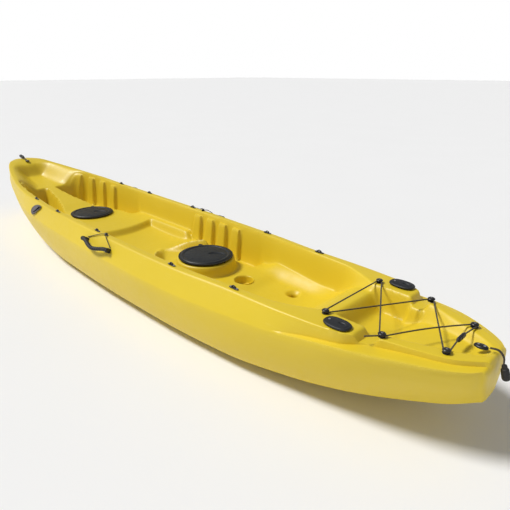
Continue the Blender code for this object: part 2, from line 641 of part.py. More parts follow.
# ---- build --------------------------------------------------------------
clear_scene()
PARTS = bpy.data.collections.new("tandem_kayak")
CUTTERS = bpy.data.collections.new("cutters")
bpy.context.scene.collection.children.link(PARTS)
bpy.context.scene.collection.children.link(CUTTERS)

yellow = material("yellow_polyethylene", YELLOW, 0.38)
black = material("black_nylon", BLACK, 0.42)
lid_black = material("black_lid", BLACK, 0.5)
rubber = material("black_rubber", BLACK, 0.7)
grey = material("grey_cover", GREY, 0.5)
cord = material("black_cord", BLACK, 0.85)

make_hull(yellow)
for hatch in HATCHES:
    make_hatch(hatch, black, lid_black, rubber)
for side_name, side_sign in SIDES:
    make_rod_holder(side_name, side_sign, black, rubber)
    make_side_cover(side_name, side_sign, grey)
    for number in range(len(EYES)):
        make_strap_eye(side_name, side_sign, number, black)
    for number in range(len(BUTTONS)):
        make_button(side_name, side_sign, number, black)
    make_handle(side_name, side_sign, black, rubber, cord)
make_bungee(cord, black)
for hull_end in ("bow", "stern"):
    make_toggle(hull_end, black, rubber, cord)
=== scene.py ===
"""Looks of a two-seat sit-on-top kayak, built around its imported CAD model.

Metres, +Z up; X runs from the stern (negative) to the bow and +Y is the port side. The hull
lines are the CAD's own. Here they are worked out on a fine grid, with the moulded ribs, dents
and rounded edges, and each fitting is rebuilt in the place of its CAD node.
"""
import json
import math

import bmesh
import bpy
import numpy as np
from mathutils import Matrix, Vector

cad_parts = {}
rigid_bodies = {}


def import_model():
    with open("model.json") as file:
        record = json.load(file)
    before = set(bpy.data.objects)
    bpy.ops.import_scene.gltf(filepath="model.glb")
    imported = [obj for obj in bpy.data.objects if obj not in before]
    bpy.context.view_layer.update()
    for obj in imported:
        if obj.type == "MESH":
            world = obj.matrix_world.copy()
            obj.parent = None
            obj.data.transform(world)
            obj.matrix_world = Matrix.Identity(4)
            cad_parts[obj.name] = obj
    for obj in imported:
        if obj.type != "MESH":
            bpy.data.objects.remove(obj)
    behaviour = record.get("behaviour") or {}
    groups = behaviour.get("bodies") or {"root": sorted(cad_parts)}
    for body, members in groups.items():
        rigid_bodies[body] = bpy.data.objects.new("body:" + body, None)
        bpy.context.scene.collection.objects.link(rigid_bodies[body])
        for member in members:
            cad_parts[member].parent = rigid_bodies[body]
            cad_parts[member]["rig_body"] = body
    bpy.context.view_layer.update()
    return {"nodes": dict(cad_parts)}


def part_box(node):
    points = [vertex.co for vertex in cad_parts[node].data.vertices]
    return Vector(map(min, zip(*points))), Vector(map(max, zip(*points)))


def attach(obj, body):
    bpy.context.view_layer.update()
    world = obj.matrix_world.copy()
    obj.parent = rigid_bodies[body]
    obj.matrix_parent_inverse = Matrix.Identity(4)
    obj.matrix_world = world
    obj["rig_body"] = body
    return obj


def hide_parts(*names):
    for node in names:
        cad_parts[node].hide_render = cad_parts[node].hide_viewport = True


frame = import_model()
NODES = frame["nodes"]
SIDES = (("port", 1), ("starboard", -1))
TURN = 2 * math.pi

# ---- hull lines: (x, value), all half widths and heights ----------------
STERN_END = -1.79
BOW_END = 1.885
KEEL_FLAT = 0.06
CREASE_Y = ((-1.79, 0.07), (-1.76, 0.115), (-1.7, 0.16), (-1.62, 0.2), (-1.5, 0.24),
            (-1.36, 0.268), (-1.1, 0.305), (-0.91, 0.328), (-0.69, 0.35), (-0.35, 0.368),
            (0.0, 0.37), (0.5, 0.364), (0.83, 0.347), (1.18, 0.292), (1.42, 0.24),
            (1.6, 0.195), (1.75, 0.148), (1.84, 0.102), (1.885, 0.05))
CREASE_Z = ((-1.79, 0.3), (-1.62, 0.302), (-1.5, 0.294), (-1.36, 0.281), (-1.1, 0.252),
            (-0.6, 0.24), (0.0, 0.24), (0.6, 0.248), (1.1, 0.264), (1.5, 0.292),
            (1.75, 0.325), (1.885, 0.355))
TOP_Y = ((-1.79, 0.045), (-1.755, 0.078), (-1.7, 0.118), (-1.6, 0.154), (-1.48, 0.187),
         (-1.4, 0.234), (-1.28, 0.255), (-1.1, 0.268), (-0.94, 0.273), (-0.6, 0.303),
         (0.0, 0.318), (0.5, 0.32), (0.83, 0.308), (1.05, 0.296), (1.25, 0.268),
         (1.45, 0.228), (1.65, 0.174), (1.8, 0.115), (1.885, 0.04))
RIM_Z = ((-1.79, 0.322), (-1.4, 0.33), (-0.94, 0.328), (-0.5, 0.325), (0.0, 0.328),
         (0.5, 0.331), (0.83, 0.339), (1.1, 0.352), (1.4, 0.374), (1.65, 0.4),
         (1.8, 0.42), (1.885, 0.425))
BILGE_Y = ((-1.79, 0.045), (-1.71, 0.095), (-1.61, 0.14), (-1.5, 0.185), (-1.4, 0.215),
           (-1.2, 0.255), (-0.9, 0.298), (-0.5, 0.325), (0.0, 0.335), (0.5, 0.325),
           (0.8, 0.298), (1.2, 0.235), (1.45, 0.18), (1.65, 0.125), (1.8, 0.072),
           (1.885, 0.034))
BILGE_Z = ((-1.79, 0.19), (-1.71, 0.168), (-1.6, 0.15), (-1.4, 0.12), (-1.2, 0.092),
           (-0.9, 0.068), (-0.4, 0.06), (0.4, 0.06), (0.8, 0.066), (1.2, 0.082),
           (1.5, 0.105), (1.7, 0.14), (1.885, 0.25))
KEEL_Z = ((-1.79, 0.172), (-1.7, 0.135), (-1.5, 0.085), (-1.25, 0.035), (-0.9, 0.004),
          (-0.6, 0.0), (0.8, 0.0), (1.1, 0.008), (1.4, 0.04), (1.6, 0.085),
          (1.75, 0.145), (1.885, 0.235))

# ---- deck lines ---------------------------------------------------------
WELL_Y = ((-1.79, 0.02), (-1.74, 0.055), (-1.6, 0.118), (-1.5, 0.15), (-1.3, 0.15),
          (-1.22, 0.185), (-1.1, 0.228), (-0.94, 0.243), (-0.6, 0.272), (0.0, 0.288),
          (0.5, 0.29), (0.83, 0.278), (1.05, 0.268), (1.25, 0.243), (1.45, 0.205),
          (1.65, 0.15), (1.74, 0.1), (1.885, 0.03))
WALL_RUN = ((-1.79, 0.03), (-1.52, 0.05), (-1.46, 0.034), (-1.2, 0.034), (1.24, 0.036),
            (1.42, 0.15), (1.66, 0.11), (1.74, 0.06))
FLOOR_Z = ((-1.79, 0.322), (-1.765, 0.318), (-1.72, 0.296), (-1.62, 0.29), (-1.53, 0.276),
           (-1.44, 0.24), (-1.345, 0.242), (-1.285, 0.303), (-1.24, 0.3), (-1.09, 0.2),
           (-0.97, 0.17), (-0.8, 0.172), (-0.72, 0.186), (-0.61, 0.19), (-0.3, 0.19),
           (-0.2, 0.172), (-0.02, 0.166), (0.1, 0.16), (0.285, 0.168), (0.325, 0.203), (0.87, 0.203),
           (1.0, 0.226), (1.25, 0.262), (1.5, 0.292), (1.64, 0.312), (1.72, 0.4),
           (1.8, 0.42), (1.885, 0.425))
CONSOLE_Y = ((0.45, 0.19), (0.65, 0.182), (0.85, 0.12), (1.0, 0.078), (1.2, 0.042),
             (1.4, 0.02))
FOOTWELL_Z = 0.138
SEAT_RIDGE_X = -0.075
SEAT_RIDGE_SWEEP = 1.1   # the ridge behind the front seat sweeps aft by this much per metre out
NOTCH = (-1.5, -1.445)
NOTCH_Z = 0.303
WALL_RIBS = (1.32, 1.18, 1.04, 0.9, -0.06, -0.17, -0.28, -0.39)
RIB_HALF_WIDTH = 0.034
RIB_PROUD = 0.02

# ---- fittings on the deck -----------------------------------------------
WALL = 0.006
HATCH_HOLE = 0.106
BOSS_RADIUS = 0.138
HATCH_PATCH = {"front": 0.186, "rear": 0.18}   # the rings round a hatch reach out to here
HINGE_ANGLE = math.radians(-28)
HINGE_REACH = 0.146
SCUPPERS = ((-0.925, 0.11), (-0.925, -0.11))
CUP = (-0.695, -0.03)
CUP_PATCH = 0.0468
CUP_DEPTH = 0.036
ROD_HOLDER = (-1.372, 0.204)
BUTTONS = ((-1.298, 0.168), (-1.506, 0.163), (-1.679, 0.102))
BUTTON_POST = 0.0045
CORD = 0.005
PADDLE_CORD = 0.004
TOGGLE_CORD = 0.0034
HOOK = (-0.065, 0.303)
SIDE_COVER_X = 0.728
ROD_TILT = math.radians(24)
BUNGEE_OVER = (4, 5)
HANDLE_X = (0.06, -0.16)
SCREW_RADIUS = 0.0038


# ---- small maths --------------------------------------------------------
def curve_through(points, x):
    """Smooth curve through (x, value) pairs that never overshoots between them."""
    px, py = (np.array(v, float) for v in zip(*points))
    step = np.diff(px)
    slope = np.diff(py) / step
    agree = slope[:-1] * slope[1:] > 0
    total = np.where(agree, slope[:-1] + slope[1:], 1)
    tangent = np.zeros(len(px))
    tangent[1:-1] = np.where(agree, 2 * slope[:-1] * slope[1:] / total, 0)
    tangent[0], tangent[-1] = slope[0], slope[-1]
    x = np.clip(np.asarray(x, float), px[0], px[-1])
    i = np.clip(np.searchsorted(px, x) - 1, 0, len(step) - 1)
    t = (x - px[i]) / step[i]
    hermite = tangent[i] * t * (1 - t) ** 2 - tangent[i + 1] * t * t * (1 - t)
    return py[i] + (py[i + 1] - py[i]) * t * t * (3 - 2 * t) + step[i] * hermite


def blend(start, end, value):
    t = np.clip((value - start) / (end - start), 0, 1)
    return t * t * (3 - 2 * t)


def between(low, high, soft, value):
    return blend(low - soft, low + soft, value) * (1 - blend(high - soft, high + soft, value))


def mix(a, b, weight):
    return a + (b - a) * weight


def smooth_through(points, cuts):
    """Catmull-Rom curve through points of any kind, with so many steps between each pair."""
    p = [np.asarray(v, float) for v in points]
    p = [2 * p[0] - p[1]] + p + [2 * p[-1] - p[-2]]
    out = []
    for a, b, c, d in zip(p, p[1:], p[2:], p[3:]):
        for k in range(cuts):
            t = k / cuts
            out.append(0.5 * (2 * b + (c - a) * t + (2 * a - 5 * b + 4 * c - d) * t * t
                              + (3 * b - a - 3 * c + d) * t ** 3))
    return out + [p[-2]]


def soft_curve(points, cuts):
    return [Vector(p) for p in smooth_through(points, cuts)]


def evenly(route, count):
    """The same route as so many evenly spaced points."""
    route = np.array([tuple(p) for p in route])
    reach = np.concatenate([[0], np.cumsum(np.linalg.norm(np.diff(route, axis=0), axis=1))])
    wanted = np.linspace(0, reach[-1], count)
    return [Vector([float(np.interp(w, reach, route[:, i])) for i in range(3)]) for w in wanted]


def rounded(outline, radius, cuts=3):
    """Closed outline with each corner turned into a short arc that keeps within its edges."""
    points = [Vector(p) for p in outline]
    out = []
    for i, here in enumerate(points):
        before, after = points[i - 1] - here, points[(i + 1) % len(points)] - here
        a = here + before.normalized() * min(radius, 0.45 * before.length)
        b = here + after.normalized() * min(radius, 0.45 * after.length)
        for k in range(cuts + 1):
            t = k / cuts
            out.append(a * (1 - t) ** 2 + here * (2 * t * (1 - t)) + b * t * t)
    return out


def oval(half_x, half_y, count, power=2.0):
    """Closed oval; a power above 2 squares its corners a little."""
    loop = []
    for k in range(count):
        c, s = math.cos(TURN * k / count), math.sin(TURN * k / count)
        loop.append((half_x * math.copysign(abs(c) ** (2 / power), c),
                     half_y * math.copysign(abs(s) ** (2 / power), s)))
    return loop


def inset(outline, amount):
    """Closed outline moved inward by an amount, along the mean of its edges' normals."""
    loop = [Vector(p) for p in outline]
    out = []
    for i, here in enumerate(loop):
        along = (loop[(i + 1) % len(loop)] - loop[i - 1]).normalized()
        out.append(here + Vector((-along.y, along.x)) * amount)
    return out


# ---- hull form ----------------------------------------------------------
def deck_height(x, y):
    """Height of the moulded deck: floors, seats, footwells, ribs and wells below the rim."""
    across = np.abs(y)
    rim = curve_through(RIM_Z, x)
    bowed = 1.2 * np.minimum(across, 0.25) ** 2 * between(0.18, 0.52, 0.05, x)
    z = curve_through(FLOOR_Z, x - bowed)
    console = curve_through(CONSOLE_Y, x)
    z = mix(z, FOOTWELL_Z, between(0.58, 1.34, 0.03, x) * blend(console, console + 0.035, across))
    z = mix(z, 0.206, between(-0.02, 0.5, 0.03, x) * blend(0.19, 0.225, across))
    z = mix(z, FOOTWELL_Z + 0.006, between(-0.6, -0.16, 0.03, x) * blend(0.15, 0.185, across))
    z = mix(z, 0.218, between(-1.1, -0.68, 0.05, x) * blend(0.14, 0.24, across))
    ridge = np.exp(-((x - SEAT_RIDGE_X + SEAT_RIDGE_SWEEP * across) / 0.03) ** 2)
    z = z + ridge * (0.012 + 0.045 * blend(0, 0.13, across)) * (1 - blend(0.165, 0.2, across))
    dent = np.exp(-((x - 1.144) / 0.05) ** 4 - ((across - 0.08) / 0.024) ** 4)
    z = z - 0.012 * dent
    well = curve_through(WELL_Y, x)
    run = curve_through(WALL_RUN, x)
    wall = mix(z, rim, blend(well - run, well, across))
    proud = mix(z, rim - 0.02, blend(well - run - RIB_PROUD, well - RIB_PROUD, across))
    ribs = sum(between(r - RIB_HALF_WIDTH, r + RIB_HALF_WIDTH, 0.009, x) for r in WALL_RIBS)
    z = mix(wall, np.maximum(wall, proud), ribs)
    return mix(z, NOTCH_Z, between(*NOTCH, 0.01, x) * blend(0.1, 0.13, across))


def half_section(x):
    """Port half of the sections at each x, from the keel up the side and in over the deck."""
    crease_y, crease_z = curve_through(CREASE_Y, x), curve_through(CREASE_Z, x)
    bilge_y, bilge_z = curve_through(BILGE_Y, x), curve_through(BILGE_Z, x)
    keel, top = curve_through(KEEL_Z, x), curve_through(TOP_Y, x)
    under = [(0 * x, keel), (np.minimum(KEEL_FLAT, 0.4 * bilge_y), keel),
             (0.62 * bilge_y, mix(keel, bilge_z, 0.14)), (0.9 * bilge_y, mix(keel, bilge_z, 0.46)),
             (bilge_y, bilge_z),
             (mix(crease_y, bilge_y, 0.42) + 0.005, mix(crease_z, bilge_z, 0.5)),
             (crease_y + 0.001, crease_z - 0.004)]
    rows = smooth_through(under, 3)
    ledge_y = np.minimum(top + 0.004, crease_y - 0.003)
    ledge_y = mix(crease_y - 0.003, ledge_y, blend(-1.15, -1.33, x))
    rows.append(np.array((crease_y - 0.0012, crease_z + 0.003)))
    ledge = np.array((ledge_y, crease_z + 0.0065))
    rows.append(mix(rows[-1], ledge, 0.5))
    deck_in = top - 0.01
    corner = np.array((top, deck_height(x, deck_in)))
    rows.extend(mix(ledge, corner, part) for part in (0.0, 0.06, 0.2, 0.4, 0.6, 0.78))
    rise = mix(ledge, corner, 0.9)
    over = np.array((deck_in, deck_height(x, deck_in)))
    rows.extend(rise * (1 - t) ** 2 + corner * (2 * t * (1 - t)) + over * t * t
                for t in (0, 0.25, 0.5, 0.75))
    parts = np.concatenate([np.linspace(1, 0.78, 22), np.linspace(0.78, 0.5, 15)[1:],
                            np.linspace(0.5, 0, 17)[1:]])
    rows.extend(np.array((part * deck_in, deck_height(x, part * deck_in))) for part in parts)
    return np.array(rows).transpose(2, 0, 1)


def station_places(coarse):
    """Sections along the hull, closer together where its form changes over a short length."""
    busy = ((-1.8, -1.4), (-1.36, -1.2), (-0.63, -0.56), (-0.43, -0.02), (0.26, 0.42),
            (0.55, 0.62), (0.86, 1.42), (1.62, 1.9))
    places = [STERN_END + 0.012]
    while places[-1] < BOW_END - 0.024:
        near = any(low < places[-1] < high for low, high in busy)
        places.append(places[-1] + (0.0065 if near else 0.0115) * coarse)
    return np.array(places[:-1] + [BOW_END - 0.012])


def end_rings(ring, tip_x, count):
    """A section drawn in over a short length to close the hull's rounded end."""
    centre = np.array([ring[:, 0].mean(), 0, (ring[:, 2].min() + ring[:, 2].max()) / 2])
    out = []
    for k in range(1, count + 1):
        angle = math.pi / 2 * k / count
        shrunk = centre + (ring - centre) * (1 - 0.3 * (1 - math.cos(angle)))
        shrunk[:, 0] = mix(ring[:, 0], tip_x, math.sin(angle))
        out.append(shrunk)
    for scale in (0.45, 0.2):
        inner = centre + (out[count - 1] - centre) * scale
        inner[:, 0] = tip_x
        out.append(inner)
    return out


def hull_rings(coarse=1, thin=1):
    """Closed sections of the whole hull as (x, y, z) rings, from end to end."""
    x = station_places(coarse)
    half = half_section(x)[:, ::thin]
    half[:, -1, 0] = 0
    rings = []
    for place, port in zip(x, half):
        loop = np.concatenate([port, (port[1:-1] * (-1, 1))[::-1]])
        rings.append(np.column_stack([np.full(len(loop), place), loop]))
    aft = end_rings(rings[0], STERN_END, 4)
    fore = end_rings(rings[-1], BOW_END, 4)
    return aft[::-1] + rings + fore


def quads(mesh, a, b):
    """A band of faces between two closed rings of as many points."""
    for i in range(len(a)):
        j = (i + 1) % len(a)
        mesh.faces.new((a[i], a[j], b[j], b[i]))


def skin(rings):
    """Mesh of quads between rings, closed at both ends."""
    mesh = bmesh.new()
    made = [[mesh.verts.new(p) for p in ring] for ring in rings]
    for aft, fore in zip(made, made[1:]):
        quads(mesh, aft, fore)
    mesh.faces.new(made[0][::-1])
    mesh.faces.new(made[-1])
    return mesh


def near(face, centre, radius, low, high):
    middle = face.calc_center_median()
    return math.hypot(middle.x - centre[0], middle.y - centre[1]) < radius and low < middle.z < high


def open_loop(mesh, centre, radius, low, high):
    """Cut away the faces inside a circle, and return the edge left there, in order."""
    gone = [f for f in mesh.faces if near(f, centre, radius, low, high)]
    touched = {v for f in gone for v in f.verts}
    bmesh.ops.delete(mesh, geom=gone, context="FACES")
    edges = {e for v in touched if v.is_valid for e in v.link_edges if e.is_boundary}
    loop = [max((v for e in edges for v in e.verts), key=lambda v: tuple(v.co))]
    while edges:
        edge = next((e for e in loop[-1].link_edges if e in edges), None)
        if edge is None:
            break
        edges.discard(edge)
        loop.append(edge.other_vert(loop[-1]))
    loop = loop[:-1] if loop[0] == loop[-1] else loop
    area = sum((a.co.x - centre[0]) * (b.co.y - centre[1]) - (b.co.x - centre[0]) * (a.co.y - centre[1])
               for a, b in zip(loop, loop[1:]))
    return loop if area > 0 else loop[::-1]


def ring_patch(mesh, centre, radius, low, high, rings, height):
    """Swap the grid inside a circle for rings about its centre.

    Each ring is a function of the angle that gives (reach, height above or at), and height
    gives the surface at the circle itself.
    """
    loop = open_loop(mesh, centre, radius, low, high)
    count = len(loop)
    start = math.atan2(loop[0].co.y - centre[1], loop[0].co.x - centre[0])
    even = [start + TURN * i / count for i in range(count)]
    own = [e + math.remainder(math.atan2(v.co.y - centre[1], v.co.x - centre[0]) - e, TURN)
           for e, v in zip(even, loop)]
    for vert, angle in zip(loop, own):
        x, y = centre[0] + radius * math.cos(angle), centre[1] + radius * math.sin(angle)
        vert.co = (x, y, height(x, y))
    for k, ring in enumerate(rings):
        share = min(1, (k + 1) / 4)
        made = []
        for i in range(count):
            angle = mix(own[i], even[i], share)
            reach, z = ring(angle)
            x, y = centre[0] + reach * math.cos(angle), centre[1] + reach * math.sin(angle)
            made.append(mesh.verts.new((x, y, z(x, y) if callable(z) else z)))
        quads(mesh, loop, made)
        loop = made
    return loop


def at(reach, z):
    return lambda angle: (reach, z)


def deck_at(x, y):
    return float(deck_height(np.array(x), np.array(y)))


def line_at(line, x):
    return float(curve_through(line, x))


def hatch_rings(patch, deck):
    """Rings of a hatch boss: its foot on the deck, its rounded rim and the hole in its top."""
    def boss(angle):
        turn = math.remainder(angle - HINGE_ANGLE, TURN)
        return BOSS_RADIUS + 0.032 * math.exp(-(turn / 0.17) ** 2)

    def foot(away, share):
        return lambda a: (boss(a) + away * (patch - boss(a)),
                          lambda px, py: mix(deck_at(px, py), deck, share))

    rings = [foot(0.75, 0), foot(0.5, 0), foot(0.33, 0.03), foot(0.24, 0.12)]
    rings += [lambda a: (boss(a) + 0.004, lambda px, py: mix(deck_at(px, py), deck, 0.55))]
    rings += [lambda a: (boss(a) + 0.0005, lambda px, py: mix(deck_at(px, py), deck, 0.9))]
    rings += [lambda a: (boss(a) - 0.004, deck - 0.0006), lambda a: (boss(a) - 0.009, deck)]
    return rings + [at(0.12, deck), at(0.109, deck), at(HATCH_HOLE, deck - 0.002),
                    at(HATCH_HOLE, deck - 0.014)]


def cup_rings():
    floor = deck_at(*CUP)
    profile = ((0.0458, -0.0002), (0.0448, -0.001), (0.0436, -0.003), (0.0428, -0.007),
               (0.0415, -0.02), (0.0405, -CUP_DEPTH + 0.006), (0.039, -CUP_DEPTH + 0.002),
               (0.035, -CUP_DEPTH), (0.02, -CUP_DEPTH), (0.006, -CUP_DEPTH))
    return [at(reach, floor + drop) for reach, drop in profile]


def scupper_rings(x, y):
    """Funnel dent in the floor, and the tube down through the hull."""
    floor = deck_at(x, y)
    profile = ((0.036, -0.0008), (0.032, -0.003), (0.028, -0.0065), (0.024, -0.01),
               (0.0205, -0.014), (0.0185, -0.019), (0.018, -0.03), (0.018, -0.07))
    return [at(reach, floor + drop) for reach, drop in profile]


def cut_fittings(mesh, fine):
    """Hatch bosses, cup, scuppers and rod holder mouths in the outer skin; plain holes inside."""
    for name in ("front", "rear"):
        low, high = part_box(f"hatch_collar_{name}")
        x = (low.x + high.x) / 2
        deck = high.z - 0.005
        if fine:
            patch = HATCH_PATCH[name]
            ring_patch(mesh, (x, 0), patch, 0.1, 1, hatch_rings(patch, deck), deck_at)
        else:
            open_loop(mesh, (x, 0), HATCH_HOLE + 0.008, 0.1, 1)
    if fine:
        bottom = ring_patch(mesh, CUP, CUP_PATCH, 0.1, 1, cup_rings(), deck_at)
        mesh.faces.new(bottom)
    else:
        open_loop(mesh, CUP, 0.06, 0.1, 1)
    for x, y in SCUPPERS:
        if not fine:
            open_loop(mesh, (x, y), 0.04, -1, 1)
            continue
        tube = ring_patch(mesh, (x, y), 0.041, 0.1, 1, scupper_rings(x, y), deck_at)
        keel = line_at(KEEL_Z, x)
        bore = [at(0.0195, keel + 0.008), at(0.018, keel + 0.016)]
        foot = ring_patch(mesh, (x, y), 0.03, -1, 0.08, bore, hull_bottom)
        rims = [e for loop in (tube, foot) for a, b in zip(loop, loop[1:] + loop[:1])
                for e in a.link_edges if e.other_vert(a) == b]
        bmesh.ops.bridge_loops(mesh, edges=rims)
    x, y = ROD_HOLDER
    for side, sign in SIDES:
        spot = (x, sign * y)
        if fine:
            rim = deck_at(*spot)
            mouth = [at(0.03, rim), at(0.0265, rim), at(0.0255, rim - 0.001), at(0.0255, rim - 0.016)]
            ring_patch(mesh, spot, 0.038, 0.25, 1, mouth, deck_at)
        else:
            open_loop(mesh, spot, 0.042, 0.25, 1)


def hull_bottom(x, y):
    """Height of the hull's underside, from its section at x."""
    section = half_section(np.array([x]))[0][:19]
    return float(np.interp(abs(y), section[:, 0], section[:, 1]))


def join(mesh, other):
    """Add another bmesh's faces to this one, and free it."""
    data = bpy.data.meshes.new("joined")
    other.to_mesh(data)
    other.free()
    mesh.from_mesh(data)
    bpy.data.meshes.remove(data)


def hull_mesh():
    """Outer skin on the fine grid, and the wall's inner face on a coarser one."""
    outer = skin(hull_rings())
    cut_fittings(outer, True)
    bmesh.ops.recalc_face_normals(outer, faces=outer.faces)
    inner = skin(hull_rings(2.6, 3))
    bmesh.ops.recalc_face_normals(inner, faces=inner.faces)
    inner.normal_update()
    for vert, normal in [(v, v.normal.copy()) for v in inner.verts]:
        vert.co -= normal * WALL
    cut_fittings(inner, False)
    bmesh.ops.reverse_faces(inner, faces=inner.faces)
    join(outer, inner)
    return outer


# ---- mesh building ------------------------------------------------------
def piece(name, mesh, finish, pose=None):
    """Object with smooth faces from a bmesh; edges sharper than 40 degrees stay sharp."""
    bmesh.ops.remove_doubles(mesh, verts=mesh.verts, dist=1e-7)
    if pose is not None:
        mesh.transform(pose)
    bmesh.ops.recalc_face_normals(mesh, faces=mesh.faces)
    for face in mesh.faces:
        face.smooth = True
    for edge in mesh.edges:
        edge.smooth = not (len(edge.link_faces) == 2 and edge.calc_face_angle() > math.radians(40))
    data = bpy.data.meshes.new(name)
    mesh.to_mesh(data)
    mesh.free()
    data.materials.append(finish)
    made = bpy.data.objects.new(name, data)
    bpy.context.scene.collection.objects.link(made)
    return made


def stand_for(made, node):
    """The piece shows in the place of its CAD node, and rides on that node's body."""
    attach(made, NODES[node]["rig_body"])
    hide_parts(node)


def node_centre(node):
    low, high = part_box(node)
    return (low + high) / 2


def lathe(mesh, profile, segments=64, centre=(0, 0, 0)):
    """Surface turned about an upright axis from (radius, height) points."""
    rings = []
    for radius, z in profile:
        count = 1 if radius < 1e-6 else segments
        rings.append([mesh.verts.new((centre[0] + radius * math.cos(TURN * i / segments),
                                      centre[1] + radius * math.sin(TURN * i / segments),
                                      centre[2] + z)) for i in range(count)])
    for a, b in zip(rings, rings[1:]):
        for i in range(segments):
            j = (i + 1) % segments
            corners = [a[i % len(a)], a[j % len(a)], b[j % len(b)], b[i % len(b)]]
            mesh.faces.new(list(dict.fromkeys(corners)))
    return rings


def layers(mesh, outline, steps):
    """Solid from one closed outline drawn at several (inset, height) steps, capped at both ends."""
    rings = [[mesh.verts.new((p[0], p[1], z)) for p in inset(outline, amount)] for amount, z in steps]
    for a, b in zip(rings, rings[1:]):
        quads(mesh, a, b)
    mesh.faces.new(rings[0][::-1])
    mesh.faces.new(rings[-1])


def sweep(mesh, route, radii, sides=14):
    """Round tube along a route, with UVs: U once round, V metres along."""
    route = [Vector(p) for p in route]
    uv = mesh.loops.layers.uv.verify()
    normal = None
    rings, reach = [], [0.0]
    for i, here in enumerate(route):
        along = (route[min(i + 1, len(route) - 1)] - route[max(i - 1, 0)]).normalized()
        if normal is None:
            normal = along.orthogonal().normalized()
        normal = (normal - along * normal.dot(along)).normalized()
        side = along.cross(normal)
        radius = radii[i] if hasattr(radii, "__len__") else radii
        rings.append([mesh.verts.new(here + normal * (radius * math.cos(TURN * k / sides))
                                     + side * (radius * math.sin(TURN * k / sides))) for k in range(sides)])
        if i:
            reach.append(reach[-1] + (here - route[i - 1]).length)
    for i, (a, b) in enumerate(zip(rings, rings[1:])):
        for k in range(sides):
            j = (k + 1) % sides
            face = mesh.faces.new((a[k], a[j], b[j], b[k]))
            spots = ((k, i), (k + 1, i), (k + 1, i + 1), (k, i + 1))
            for loop, (u, v) in zip(face.loops, spots):
                loop[uv].uv = (u / sides, reach[v])
    mesh.faces.new(rings[0][::-1])
    mesh.faces.new(rings[-1])


def screw_head(mesh, pose):
    """Pan-head screw with a cross recess, standing on the frame's XY plane."""
    before = set(mesh.verts)
    profile = ((1, 0), (1, 0.0006), (0.9, 0.0015), (0.62, 0.002), (0.55, 0.0021), (0.28, 0.0021),
               (0.22, 0.002), (0, 0.0019))
    rings = lathe(mesh, [(SCREW_RADIUS * share, z) for share, z in profile], 32)
    for ring in rings[4:]:
        for vert in ring:
            if min(abs(vert.co.x), abs(vert.co.y)) < 0.13 * SCREW_RADIUS:
                vert.co.z -= 0.0009
    for vert in set(mesh.verts) - before:
        vert.co = pose @ vert.co


# ---- materials ----------------------------------------------------------
class Nodes:
    """A material's node tree, built up link by link from its object coordinates."""

    def __init__(self, name):
        self.material = bpy.data.materials.new(name)
        self.material.use_nodes = True
        self.tree = self.material.node_tree
        self.shader = self.tree.nodes["Principled BSDF"]
        self.place = self.add("ShaderNodeTexCoord").outputs["Object"]

    def add(self, kind, **inputs):
        node = self.tree.nodes.new(kind)
        for name, value in inputs.items():
            self.put(node.inputs[name.replace("_", " ")], value)
        return node

    def put(self, socket, value):
        """Link another node's output to the socket, or set a constant there."""
        if isinstance(value, bpy.types.NodeSocket):
            self.tree.links.new(value, socket)
        else:
            socket.default_value = value

    def noise(self, scale, detail=3.0, stretch=None):
        place = self.place
        if stretch:
            place = self.add("ShaderNodeMapping", Vector=place, Scale=stretch).outputs["Vector"]
        return self.add("ShaderNodeTexNoise", Vector=place, Scale=scale, Detail=detail).outputs["Fac"]

    def spread(self, value, low, high, start=0.3, end=0.7):
        """The value's middle range spread from low to high."""
        node = self.add("ShaderNodeMapRange", Value=value)
        for name, number in (("From Min", start), ("From Max", end), ("To Min", low), ("To Max", high)):
            node.inputs[name].default_value = number
        return node.outputs["Result"]

    def mixed(self, weight, a, b):
        node = self.tree.nodes.new("ShaderNodeMix")
        node.data_type = "RGBA"
        self.tree.links.new(weight, node.inputs["Factor"])
        for socket, colour in ((node.inputs[6], a), (node.inputs[7], b)):
            self.put(socket, (*colour, 1) if isinstance(colour, tuple) else colour)
        return node.outputs[2]

    def bump(self, height, distance, strength=1.0, under=None):
        node = self.add("ShaderNodeBump", Height=height, Distance=distance, Strength=strength)
        if under is not None:
            self.tree.links.new(under, node.inputs["Normal"])
        return node.outputs["Normal"]

    def finish(self, colour, roughness, normal, **constants):
        for name, value in (("Base Color", colour), ("Roughness", roughness), ("Normal", normal)):
            self.tree.links.new(value, self.shader.inputs[name])
        for name, value in constants.items():
            self.shader.inputs[name.replace("_", " ")].default_value = value
        return self.material


def polyethylene():
    """Rotomoulded hull plastic: faint colour drift, a satin skin, fine pitting and a few scuffs."""
    n = Nodes("yellow_polyethylene")
    colour = n.mixed(n.spread(n.noise(2.2, 4), 0, 1), (0.72, 0.525, 0.019), (0.76, 0.56, 0.025))
    worn = n.spread(n.add("ShaderNodeNewGeometry").outputs["Pointiness"], 0, 0.35, 0.53, 0.62)
    colour = n.mixed(worn, colour, (0.88, 0.74, 0.16))
    scuffs = n.noise(9, 2, (1, 14, 14))
    marks = n.spread(scuffs, 0, 0.1, 0.66, 0.72)
    colour = n.mixed(marks, colour, (0.86, 0.7, 0.16))
    rough = n.spread(n.noise(38, 5), 0.38, 0.48)
    skin_wave = n.bump(n.noise(14, 2), 0.0012, 0.35)
    pits = n.bump(n.noise(520, 2), 0.00018, 0.5, skin_wave)
    return n.finish(colour, rough, pits, IOR=1.5, Specular_IOR_Level=0.5)


